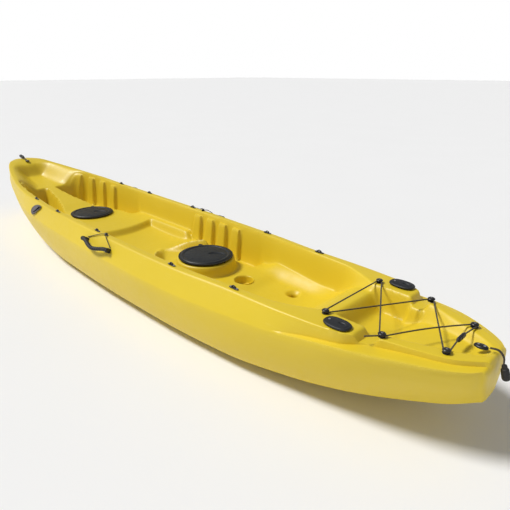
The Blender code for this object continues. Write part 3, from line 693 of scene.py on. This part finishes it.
def moulded(name, dark, light, rough, grain, depth, mottle=30):
    """Moulded nylon, plastic or rubber with a fine grain and slightly uneven colour."""
    n = Nodes(name)
    colour = n.mixed(n.spread(n.noise(mottle, 4), 0, 1), dark, light)
    worn = n.spread(n.add("ShaderNodeNewGeometry").outputs["Pointiness"], 0, 0.5, 0.55, 0.7)
    colour = n.mixed(worn, colour, tuple(min(1, 2.2 * c) for c in light))
    roughness = n.spread(n.noise(mottle * 4, 3), rough - 0.07, rough + 0.07)
    fine = n.add("ShaderNodeTexVoronoi", Vector=n.place, Scale=grain).outputs["Distance"]
    wave = n.bump(n.noise(mottle * 5, 2), depth * 2, 0.3)
    return n.finish(colour, roughness, n.bump(fine, depth, 0.6, wave))


def braid(name, dark, light):
    """Braided cord cover: two sets of strands that cross, from the tube's own UVs."""
    n = Nodes(name)
    uv = n.add("ShaderNodeTexCoord").outputs["UV"]
    split = n.add("ShaderNodeSeparateXYZ", Vector=uv)

    def math_node(kind, a, b):
        node = n.tree.nodes.new("ShaderNodeMath")
        node.operation = kind
        n.put(node.inputs[0], a)
        n.put(node.inputs[1], b)
        return node.outputs[0]

    round_it = math_node("MULTIPLY", split.outputs["X"], 4 * TURN)
    along = math_node("MULTIPLY", split.outputs["Y"], TURN / 0.0032)
    one = math_node("SINE", math_node("ADD", round_it, along), 0)
    two = math_node("SINE", math_node("SUBTRACT", round_it, along), 0)
    weave = math_node("MAXIMUM", one, two)
    fleck = n.spread(n.noise(240, 2), 0, 1, 0.45, 0.65)
    strands = n.mixed(fleck, light, tuple(1.7 * c for c in light))
    colour = n.mixed(n.spread(weave, 0.15, 1, -0.4, 1), dark, strands)
    return n.finish(colour, n.spread(n.noise(300), 0.75, 0.92), n.bump(weave, 0.0004, 0.8), Sheen_Weight=0.2)


def steel():
    n = Nodes("stainless_steel")
    colour = n.mixed(n.noise(300), (0.5, 0.5, 0.51), (0.66, 0.66, 0.67))
    rough = n.spread(n.noise(700, 2, (1, 1, 12)), 0.2, 0.36)
    return n.finish(colour, rough, n.bump(n.noise(900), 0.00003, 0.5), Metallic=1.0)


def floor_paint():
    n = Nodes("studio_floor")
    colour = n.mixed(n.noise(1.3), (0.86, 0.86, 0.86), (0.88, 0.88, 0.88))
    rough = n.spread(n.noise(6), 0.7, 0.8)
    return n.finish(colour, rough, n.bump(n.noise(60), 0.0002, 0.2), Specular_IOR_Level=0.2)


PE = polyethylene()
NYLON = moulded("black_nylon", (0.009, 0.009, 0.01), (0.017, 0.017, 0.019), 0.36, 900, 0.0001)
LID = moulded("black_lid_plastic", (0.007, 0.009, 0.011), (0.012, 0.015, 0.017), 0.46, 700, 0.00012, 12)
RUBBER = moulded("black_rubber", (0.008, 0.008, 0.009), (0.015, 0.014, 0.014), 0.58, 1200, 0.00012)
PAD = moulded("dark_pad_rubber", (0.008, 0.01, 0.013), (0.014, 0.016, 0.02), 0.52, 1000, 0.00012, 18)
GREY = moulded("grey_cover_rubber", (0.085, 0.075, 0.085), (0.125, 0.112, 0.122), 0.5, 900, 0.00015)
ELASTIC = braid("black_elastic_cord", (0.01, 0.008, 0.006), (0.055, 0.042, 0.022))
STEEL = steel()


# ---- camera, floor and light --------------------------------------------
CAMERA_PLACE = (-2.0847, 1.2767, 1.077)
CAMERA_YAW = 0.78077
CAMERA_DOWN = 0.3823
CAMERA_LENS = 32.32
FLOOR_REACH = 60
FLOOR_DROP = -0.0008


def make_camera():
    data = bpy.data.cameras.new("camera")
    data.sensor_width = 36
    data.lens = CAMERA_LENS
    data.clip_start, data.clip_end = 0.05, 100
    camera = bpy.data.objects.new("camera", data)
    camera.location = CAMERA_PLACE
    ahead = Vector((math.cos(CAMERA_YAW) * math.cos(CAMERA_DOWN),
                    -math.sin(CAMERA_YAW) * math.cos(CAMERA_DOWN), -math.sin(CAMERA_DOWN)))
    camera.rotation_mode = "QUATERNION"
    camera.rotation_quaternion = ahead.to_track_quat("-Z", "Y")
    bpy.context.scene.collection.objects.link(camera)
    bpy.context.scene.camera = camera


def soft_sun(towards, strength, spread):
    """Even light over the whole floor, as soft as a wide panel overhead."""
    data = bpy.data.lights.new("key", "SUN")
    data.energy = strength
    data.angle = math.radians(spread)
    lamp = bpy.data.objects.new("key", data)
    lamp.rotation_mode = "QUATERNION"
    lamp.rotation_quaternion = Vector(towards).to_track_quat("-Z", "Y")
    bpy.context.scene.collection.objects.link(lamp)


def make_studio():
    mesh = bmesh.new()
    corners = ((-1, -1), (1, -1), (1, 1), (-1, 1))
    mesh.faces.new([mesh.verts.new((u * FLOOR_REACH, v * FLOOR_REACH, FLOOR_DROP)) for u, v in corners])
    piece("studio_floor", mesh, floor_paint())
    world = bpy.data.worlds.new("studio")
    world.use_nodes = True
    tree = world.node_tree
    aim = tree.nodes.new("ShaderNodeSeparateXYZ")
    tree.links.new(tree.nodes.new("ShaderNodeTexCoord").outputs["Generated"], aim.inputs[0])
    glow = tree.nodes.new("ShaderNodeMapRange")
    tree.links.new(aim.outputs["Z"], glow.inputs["Value"])
    for place, value in (("From Min", 0.13), ("From Max", 0.22), ("To Min", 1.0), ("To Max", 0.26)):
        glow.inputs[place].default_value = value
    tree.links.new(glow.outputs["Result"], tree.nodes["Background"].inputs["Strength"])
    tree.nodes["Background"].inputs["Color"].default_value = (1, 1, 1, 1)
    bpy.context.scene.world = world
    bpy.context.scene.view_settings.view_transform = "Standard"
    soft_sun((-0.45, -0.36, -0.82), 2.85, 14)


# ---- cords --------------------------------------------------------------
def button_spot(index, sign):
    x, y = BUTTONS[index]
    return Vector((x, sign * y, line_at(RIM_Z, x) + 0.0015))


def wrap_points(before, here, after, radius):
    """Points where a cord bends round a post, between the places it comes from and goes to."""
    into = (here - before).normalized()
    away = (after - here).normalized()
    middle = math.atan2(into.y - away.y, into.x - away.x)
    turn = math.atan2(into.x * away.y - into.y * away.x, into.dot(away))
    angles = [middle + turn * k / 8 for k in range(-4, 5)]
    return [here + radius * Vector((math.cos(a), math.sin(a), 0)) for a in angles]


def bungee_route(lock):
    """Zigzag over the stern well, from one end of the cord lock round to the other."""
    order = [(2, 1), (1, -1), (0, 1), (0, -1), (1, 1), (2, -1)]
    posts = [button_spot(i, s) + Vector((0, 0, 0.005)) for i, s in order]
    stops = [lock + Vector((0, 0.03, 0))] + posts + [lock - Vector((0, 0.03, 0))]
    bends = [[stops[0]]]
    for before, here, after in zip(stops, stops[1:], stops[2:]):
        bends.append(wrap_points(before, here, after, BUTTON_POST + CORD / 2 + 0.0003))
    bends.append([stops[-1]])
    route = list(bends[0])
    for run, (here, after) in enumerate(zip(bends, bends[1:])):
        rise = 0.0065 if run in BUNGEE_OVER else 0
        for part in np.linspace(0.05, 0.95, 19):
            lift = Vector((0, 0, rise * math.sin(math.pi * part)))
            route.append(here[-1].lerp(after[0], float(part)) + lift)
        route.extend(after)
    return route


def elastic(name, route, diameter, node=None, body="kayak_hull"):
    """A cord: a braided tube along its route, standing for its CAD node when one is given."""
    mesh = bmesh.new()
    sweep(mesh, route, diameter / 2, 12)
    made = piece(name, mesh, ELASTIC)
    if node:
        stand_for(made, node)
    else:
        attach(made, body)
    return made


def band_frame(x, sign, along, lift=0.0):
    """Frame on the sloping side band: X along the hull, Y up the slope, Z out of it."""
    low = Vector((x, line_at(CREASE_Y, x), line_at(CREASE_Z, x)))
    high = Vector((x, line_at(TOP_Y, x), line_at(RIM_Z, x)))
    up = (high - low).normalized()
    out = Vector((0, up.z, -up.y))
    made = Matrix((up.cross(out), up, out)).transposed().to_4x4()
    made.translation = low.lerp(high, along) + out * lift
    if sign < 0:
        made = Matrix.Scale(-1, 4, (0, 1, 0)) @ made @ Matrix.Scale(-1, 4, (1, 0, 0))
    return made


def gunwale_corner(x, sign):
    top = sign * (line_at(TOP_Y, x) + 0.003)
    return Vector((x, top, line_at(RIM_Z, x) + 0.004))


def hook_spot(sign):
    x, y = HOOK
    return Vector((x, sign * y, line_at(RIM_Z, x) + 0.0015))


def paddle_loop(sign):
    """Thin elastic from one handle bracket up round its hook and down to the other."""
    spots = [band_frame(x, sign, 0.5, 0.0015) for x in HANDLE_X]
    hook = hook_spot(sign)
    ends = [f.translation + f.to_3x3() @ Vector((0, 0.015, 0.002)) for f in spots]
    bend = [hook + Vector((0.0063 * math.cos(a), -sign * 0.0063 * math.sin(a), 0.0042))
            for a in np.linspace(0, math.pi, 9)]
    before = [ends[0], gunwale_corner(-0.035, sign), bend[0]]
    after = [bend[-1], gunwale_corner(-0.095, sign), ends[1]]
    return soft_curve(before, 6) + bend[1:-1] + soft_curve(after, 6)


def make_cords():
    elastic("deck_bungee_cord", bungee_route(node_centre("bungee_lock")), CORD, "deck_bungee")
    for side, sign in SIDES:
        elastic(f"paddle_elastic_{side}", paddle_loop(sign), PADDLE_CORD, f"paddle_bungee_{side}")
    start = button_spot(1, 1) + Vector((0.004, 0.0085, 0.005))
    tail = [start, start + Vector((0.012, 0.012, -0.0008)), start + Vector((0.024, 0.022, -0.0025)),
            start + Vector((0.034, 0.029, -0.0045))]
    elastic("bungee_tail", soft_curve(tail, 5), CORD)


# ---- fittings -----------------------------------------------------------
def make_hull():
    made = piece("kayak_hull_shell", hull_mesh(), PE)
    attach(made, "kayak_hull")
    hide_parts(*[n for n in NODES if n.startswith("hull_")])


def make_hatch(name):
    low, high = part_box(f"hatch_collar_{name}")
    x, deck = (low.x + high.x) / 2, high.z - 0.005
    place = (x, 0, deck)
    collar = rounded([(0.0985, -0.03), (0.104, -0.03), (0.104, 0.0003), (0.1215, 0.0003), (0.1215, 0.0045),
                      (0.117, 0.005), (0.0985, 0.005)], 0.0008)
    mesh = bmesh.new()
    lathe(mesh, [tuple(p) for p in collar] + [tuple(collar[0])], 96, place)
    stand_for(piece(f"hatch_ring_{name}", mesh, NYLON), f"hatch_collar_{name}")
    mesh = bmesh.new()
    seal = rounded([(0.109, 0.0053), (0.117, 0.0053), (0.117, 0.0073), (0.109, 0.0073)], 0.0008)
    lathe(mesh, [tuple(p) for p in seal] + [tuple(seal[0])], 96, place)
    stand_for(piece(f"hatch_seal_{name}", mesh, RUBBER), f"hatch_gasket_{name}")
    make_lid(name, place)
    make_retainer(name, place)
    mesh = bmesh.new()
    lug = [(0.0075, 0.0003), (0.0075, 0.0035), (0.0068, 0.0055), (0.005, 0.0065), (0.002, 0.0065),
           (0, 0.0056)]
    reach = HINGE_REACH + 0.0125
    lathe(mesh, lug, 32, (x + reach * math.cos(HINGE_ANGLE), reach * math.sin(HINGE_ANGLE), deck))
    stand_for(piece(f"hatch_anchor_{name}", mesh, NYLON), f"hatch_lug_{name}")


def make_lid(name, place):
    """Round lid: a rolled rim, a shallow moat, a low crown and one plain oval recess."""
    outline = [(0, 0.0166), (0.04, 0.0166), (0.07, 0.0161), (0.09, 0.015), (0.101, 0.0136),
               (0.1045, 0.0134), (0.1075, 0.015), (0.112, 0.0166), (0.117, 0.0162),
               (0.1215, 0.014), (0.1235, 0.0112), (0.1235, 0.008), (0.1228, 0.0076),
               (0.096, 0.0076), (0.096, -0.006), (0.092, -0.006), (0.092, 0.0076), (0, 0.0076)]
    crown = [outline[0]] + [tuple(p) for p in smooth_through(outline[:12], 7)][1:] + outline[12:]
    mesh = bmesh.new()
    lathe(mesh, crown, 144, place)
    away = Vector((-0.707, -0.707))
    for vert in mesh.verts:
        spot = Vector((vert.co.x - place[0], vert.co.y - place[1]))
        if vert.co.z - place[2] < 0.0115 or spot.length > 0.104:
            continue
        along, across = spot.dot(away) - 0.052, spot.dot(Vector((away.y, -away.x)))
        inside = (along / 0.036) ** 2 + (across / 0.017) ** 2
        vert.co.z -= 0.0042 * float(blend(1.25, 0.85, inside))
        notch = math.cos(8 * math.atan2(spot.y, spot.x))
        lobed = blend(0.8, 0.98, notch) * between(0.078, 0.099, 0.003, spot.length)
        vert.co.z += 0.0007 * float(lobed)
    stand_for(piece(f"hatch_cover_{name}", mesh, LID), f"hatch_lid_{name}")


def make_retainer(name, place):
    """Rubber ring that holds the lid, with a tongue out to the lug."""
    low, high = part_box(f"hatch_retainer_{name}")
    inner = 0.1238
    mesh = bmesh.new()
    rings = []
    for k in range(180):
        angle = TURN * k / 180
        turn = math.remainder(angle - HINGE_ANGLE, TURN)
        outer = 0.131 + 0.0175 * math.exp(-(turn / 0.075) ** 4)
        section = rounded([(inner, low.z), (outer, low.z), (outer, high.z), (inner, high.z)], 0.0014, 2)
        c, s = math.cos(angle), math.sin(angle)
        rings.append([mesh.verts.new((place[0] + p.x * c, place[1] + p.x * s, p.y)) for p in section])
    for a, b in zip(rings, rings[1:] + rings[:1]):
        quads(mesh, b, a)
    stand_for(piece(f"hatch_strap_{name}", mesh, RUBBER), f"hatch_retainer_{name}")


def make_rod_holder(side, sign):
    """Blind tube, and its oval rubber cap with a rim, a finger dimple and a screw."""
    x, y = ROD_HOLDER
    z = line_at(RIM_Z, x)
    tilt = Matrix.Translation((x, sign * y, z)) @ Matrix.Rotation(-ROD_TILT, 4, "Y")
    mesh = bmesh.new()
    lathe(mesh, [(0, -0.127), (0.0185, -0.127), (0.0195, -0.126), (0.0195, -0.0145), (0.0205, -0.013),
                 (0.0225, -0.013), (0.0235, -0.014), (0.0235, -0.128), (0.0215, -0.13), (0, -0.13)], 48)
    stand_for(piece(f"rod_tube_{side}", mesh, NYLON, tilt), f"rod_holder_tube_{side}")
    node = f"rod_holder_cap_{side}"
    low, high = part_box(node)
    base = Matrix.Translation((x, sign * y, low.z))
    thick = high.z - low.z
    outline = oval((high.x - low.x) / 2, (high.y - low.y) / 2, 96, 2.5)
    mesh = bmesh.new()
    layers(mesh, outline, [(0.0035, 0), (0.0008, 0.0008), (0, 0.0028), (0.0006, 0.0052), (0.0028, 0.0074),
                           (0.005, 0.0078), (0.0068, 0.0072), (0.008, 0.007), (0.0095, 0.0074),
                           (0.014, thick - 0.0006), (0.02, thick - 0.0002), (0.027, thick)])
    dimple(mesh, (-0.017, -sign * 0.001), 0.014, 0.0085, 0.0026)
    stand_for(piece(f"rod_cap_{side}", mesh, PAD, base), node)
    screws(f"rod_cap_screw_{side}", [base @ Matrix.Translation((0.031, 0, thick - 0.0006))], node)


def dimple(mesh, centre, half_x, half_y, depth):
    """A smooth oval hollow in the top of the mesh, which is drawn about its own origin."""
    bmesh.ops.triangulate(mesh, faces=[f for f in mesh.faces if len(f.verts) > 4])
    top = max(v.co.z for v in mesh.verts)
    cap = [f for f in mesh.faces if f.calc_center_median().z > top - 0.0004]
    edges = list(dict.fromkeys(e for f in cap for e in f.edges))
    bmesh.ops.subdivide_edges(mesh, edges=edges, cuts=5, use_grid_fill=True)
    for vert in mesh.verts:
        inside = ((vert.co.x - centre[0]) / half_x) ** 2 + ((vert.co.y - centre[1]) / half_y) ** 2
        if vert.co.z > 0.6 * top:
            vert.co.z -= depth * float(blend(1.2, 0.4, inside))


def screws(name, poses, node):
    """Stainless screw heads that go with the piece that stands for a node."""
    mesh = bmesh.new()
    for pose in poses:
        screw_head(mesh, pose)
    made = piece(name, mesh, STEEL)
    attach(made, NODES[node]["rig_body"])


def make_side_cover(side, sign):
    """Half-moon cover on the side band: a domed pad inside a raised lip."""
    chord, bulge = Vector((sign * 0.086, 0.068)), Vector((-sign * 0.061, 0.014))
    outline = []
    for a in np.linspace(0, TURN, 96, endpoint=False):
        out = math.cos(a) * (1 if math.cos(a) > 0 else 0.12)
        outline.append(tuple(out * bulge + 0.5 * math.sin(a) * chord))
    mesh = bmesh.new()
    layers(mesh, outline if sign < 0 else outline[::-1], [
        (0.002, 0), (0, 0.0012), (0, 0.0034), (0.001, 0.0052), (0.003, 0.006), (0.0052, 0.0056),
        (0.0064, 0.0046), (0.0085, 0.0044), (0.011, 0.005), (0.015, 0.0056)])
    stand_for(piece(f"side_pad_{side}", mesh, GREY, band_frame(SIDE_COVER_X, sign, 0.5, 0.0045)),
              f"side_cover_{side}")


def make_strap_eye(side, index):
    """Moulded pad-eye: a tapered foot with a screw at each end, and a round arch over it."""
    node = f"strap_eye_{side}_{index}"
    centre = node_centre(node)
    climb = (line_at(RIM_Z, centre.x + 0.05) - line_at(RIM_Z, centre.x - 0.05)) / 0.1
    foot_z = line_at(RIM_Z, centre.x) + 0.0015
    pose = Matrix.Translation((centre.x, centre.y, foot_z)) @ Matrix.Rotation(-math.atan(climb), 4, "Y")
    mesh = bmesh.new()
    layers(mesh, oval(0.0242, 0.0064, 64, 2.8), [(0.0006, 0), (0, 0.0006), (0, 0.0022), (0.001, 0.003),
                                                 (0.003, 0.0032)])
    turns = np.linspace(0, math.pi, 19)
    arch = [Vector((0.0092 * math.cos(a), 0, 0.003 + 0.0072 * math.sin(a))) for a in turns]
    radii = [0.0024 + 0.0012 * abs(math.cos(a)) ** 3 for a in turns]
    sweep(mesh, arch, radii, 16)
    stand_for(piece(f"pad_eye_{side}_{index}", mesh, NYLON, pose), node)
    spots = [pose @ Matrix.Translation((end * 0.0172, 0, 0.003)) for end in (-1, 1)]
    screws(f"pad_eye_screws_{side}_{index}", spots, node)


def make_button(side, sign, index):
    """Mushroom-headed bungee button, with its screw in the head."""
    spot = button_spot(index, sign)
    profile = [(0, 0.0122), (0.003, 0.0122), (0.0036, 0.013), (0.0042, 0.0142), (0.007, 0.014),
               (0.01, 0.0129), (0.0122, 0.0113), (0.013, 0.0098), (0.0126, 0.0088), (0.0105, 0.0084),
               (0.006, 0.0081), (0.0046, 0.0072), (0.0045, 0.0036), (0.0058, 0.0026),
               (0.0105, 0.0021), (0.012, 0.0014), (0.012, 0.0002), (0.011, 0), (0, 0)]
    mesh = bmesh.new()
    lathe(mesh, profile, 48, spot)
    node = f"bungee_button_{side}_{index + 1}"
    stand_for(piece(f"button_{side}_{index + 1}", mesh, NYLON), node)
    screws(f"button_screw_{side}_{index + 1}", [Matrix.Translation(spot + Vector((0, 0, 0.0122)))], node)


def ribbed_radii(count, radius, depth, ribs):
    """Radii along a grip: moulded rings between plain ends."""
    out = []
    for i in range(count):
        part = i / (count - 1)
        ring = 0.5 - 0.5 * math.cos(TURN * ribs * part)
        out.append(radius - depth * ring * float(between(0.1, 0.9, 0.02, part)))
    return out


def make_handle(side, sign):
    """Two brackets with a round boss and screw each, and the ribbed grip between them."""
    ends = []
    frames = [band_frame(x, sign, 0.5, 0.0015) for x in HANDLE_X]
    for end, face, pose in (("fwd", 1, frames[0]), ("aft", -1, frames[1])):
        outer = -face * sign
        foot = rounded([(-0.013, -0.011), (0.013, -0.011), (0.013, 0.011), (-0.013, 0.011)], 0.005, 5)
        mesh = bmesh.new()
        layers(mesh, foot, [(0.0006, 0), (0, 0.0007), (0, 0.0066), (0.0012, 0.008)])
        ear = rounded([(-0.011, 0.004), (0.011, 0.004), (0.011, 0.03), (-0.011, 0.03)], 0.0105, 8)
        stand = Matrix.Rotation(math.pi / 2, 4, "Z") @ Matrix.Rotation(math.pi / 2, 4, "X")
        upright = bmesh.new()
        layers(upright, ear, [(0.0008, 0), (0, 0.0008), (0, 0.005), (0.001, 0.0059)])
        upright.transform(Matrix.Translation((outer * 0.01 - 0.00295, 0, 0)) @ stand)
        join(mesh, upright)
        knob = bmesh.new()
        lathe(knob, [(0, 0.0066), (0.005, 0.0064), (0.0088, 0.0048), (0.0102, 0.0022), (0.01, 0),
                     (0, 0)], 40)
        turn = Matrix.Rotation(outer * math.pi / 2, 4, "Y")
        knob.transform(Matrix.Translation((outer * 0.0128, 0, 0.0205)) @ turn)
        join(mesh, knob)
        node = f"handle_bracket_{end}_{side}"
        stand_for(piece(f"handle_foot_{end}_{side}", mesh, NYLON, pose), node)
        screws(f"handle_screw_{end}_{side}", [pose @ Matrix.Translation((-outer * 0.0065, 0, 0.008))], node)
        ends.append(pose @ Vector((outer * 0.005, 0, 0.0205)))
    fore, aft = ends
    out, down = frames[0].to_3x3().col[2], -frames[0].to_3x3().col[1]
    route = []
    for part in (0, 0.03, 0.14, 0.3, 0.5, 0.7, 0.86, 0.97, 1):
        bow = math.sin(math.pi * part) ** 2
        route.append(fore.lerp(aft, part) + out * (0.01 * bow) + down * (0.022 * bow))
    route = evenly(smooth_through(route, 12), 150)
    mesh = bmesh.new()
    sweep(mesh, route, ribbed_radii(len(route), 0.01, 0.0016, 15), 24)
    stand_for(piece(f"handle_grip_{side}", mesh, RUBBER), f"carry_grip_{side}")
    mesh = bmesh.new()
    profile = [(0, 0.011), (0.004, 0.0109), (0.0075, 0.0099), (0.0086, 0.0085), (0.0082, 0.0074),
               (0.0046, 0.0066), (0.004, 0.0058), (0.004, 0.0028), (0.0052, 0.002), (0.0088, 0.0016),
               (0.009, 0.0004), (0, 0)]
    lathe(mesh, profile, 40, hook_spot(sign))
    stand_for(piece(f"elastic_hook_{side}", mesh, NYLON), f"paddle_hook_{side}")


def make_lock():
    """Cord lock at the bungee's ends: a ribbed barrel, waisted, with a round push end."""
    centre = node_centre("bungee_lock")
    profile = []
    for part in np.linspace(-1, 1, 61):
        body = 0.0088 * math.sqrt(max(0.0, 1 - abs(float(part)) ** 5))
        waist = 0.0018 * math.exp(-((float(part) - 0.3) / 0.07) ** 2)
        profile.append((max(0.0, body - waist), 0.029 * float(part)))
    mesh = bmesh.new()
    lathe(mesh, profile, 40)
    for vert in mesh.verts:
        vert.co.x *= 0.78
    pose = Matrix.Translation(centre) @ Matrix.Rotation(-math.pi / 2, 4, "X")
    stand_for(piece("cord_lock", mesh, NYLON, pose), "bungee_lock")


def make_toggle(end):
    """Oval deck eye with two screws, a doubled cord and a waisted rubber toggle."""
    sign = 1 if end == "bow" else -1
    base_node, grip_node = f"toggle_base_{end}", f"toggle_grip_{end}"
    low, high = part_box(base_node)
    centre = (low + high) / 2
    thick = high.z - low.z
    pose = Matrix.Translation((centre.x, 0, low.z))
    mesh = bmesh.new()
    layers(mesh, oval((high.x - low.x) / 2, (high.y - low.y) / 2, 72), [
        (0.0012, 0), (0.0002, 0.0008), (0, 0.003), (0.0012, 0.0055), (0.0038, 0.0074), (0.007, thick)])
    stand_for(piece(f"toggle_eye_{end}", mesh, NYLON, pose), base_node)
    spots = [pose @ Matrix.Translation((u, 0, thick - 0.0004)) for u in (-0.009, 0.009)]
    screws(f"toggle_screws_{end}", spots, base_node)
    x, z = centre.x, low.z - 0.0003
    if end == "bow":
        path = [(x + 0.024, z + 0.009), (x + 0.048, z + 0.013), (x + 0.064, z + 0.02)]
        grip = ((x + 0.065, z + 0.0215), (x + 0.14, z + 0.0265))
    else:
        path = [(x - 0.024, z + 0.009), (x - 0.048, z + 0.011), (x - 0.064, z - 0.004),
                (x - 0.068, z - 0.024)]
        grip = ((x - 0.069, z - 0.026), (x - 0.084, z - 0.074))
    for strand, spread in (("left", 0.003), ("right", -0.003)):
        points = soft_curve([(u, spread, v) for u, v in path], 8)
        made = elastic(f"toggle_strand_{strand}_{end}", points, TOGGLE_CORD, body=f"toggle_{end}")
        if strand == "left":
            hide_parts(f"toggle_cord_{end}")
    a, b = (Vector((u, 0, v)) for u, v in grip)
    length = (b - a).length
    shape = ((0, 0.0006), (0.0055, 0.0006), (0.0072, 0.003), (0.0086, 0.012), (0.0112, 0.3 * length),
             (0.0124, 0.52 * length), (0.0125, 0.66 * length), (0.0119, 0.84 * length),
             (0.0095, 0.94 * length), (0.006, 0.985 * length), (0, length))
    mesh = bmesh.new()
    lathe(mesh, [(max(0.0, p[0]), p[1]) for p in smooth_through(shape, 6)], 48)
    for vert in mesh.verts:
        ring = 0.5 + 0.5 * math.cos(TURN * vert.co.z / 0.0065)
        hold = float(between(0.32 * length, 0.84 * length, 0.004, vert.co.z))
        scale = 1 - 0.07 * ring * hold
        vert.co.x, vert.co.y = vert.co.x * scale, vert.co.y * scale
    lie = (b - a).to_track_quat("Z", "Y").to_matrix().to_4x4()
    lie.translation = a
    stand_for(piece(f"toggle_handle_{end}", mesh, RUBBER, lie), grip_node)


make_camera()
make_studio()
make_cords()
make_hull()
for hatch in ("front", "rear"):
    make_hatch(hatch)
for side_name, side_sign in SIDES:
    make_rod_holder(side_name, side_sign)
    make_side_cover(side_name, side_sign)
    for number in range(1, 6):
        make_strap_eye(side_name, number)
    for number in range(len(BUTTONS)):
        make_button(side_name, side_sign, number)
    make_handle(side_name, side_sign)
make_lock()
for hull_end in ("bow", "stern"):
    make_toggle(hull_end)
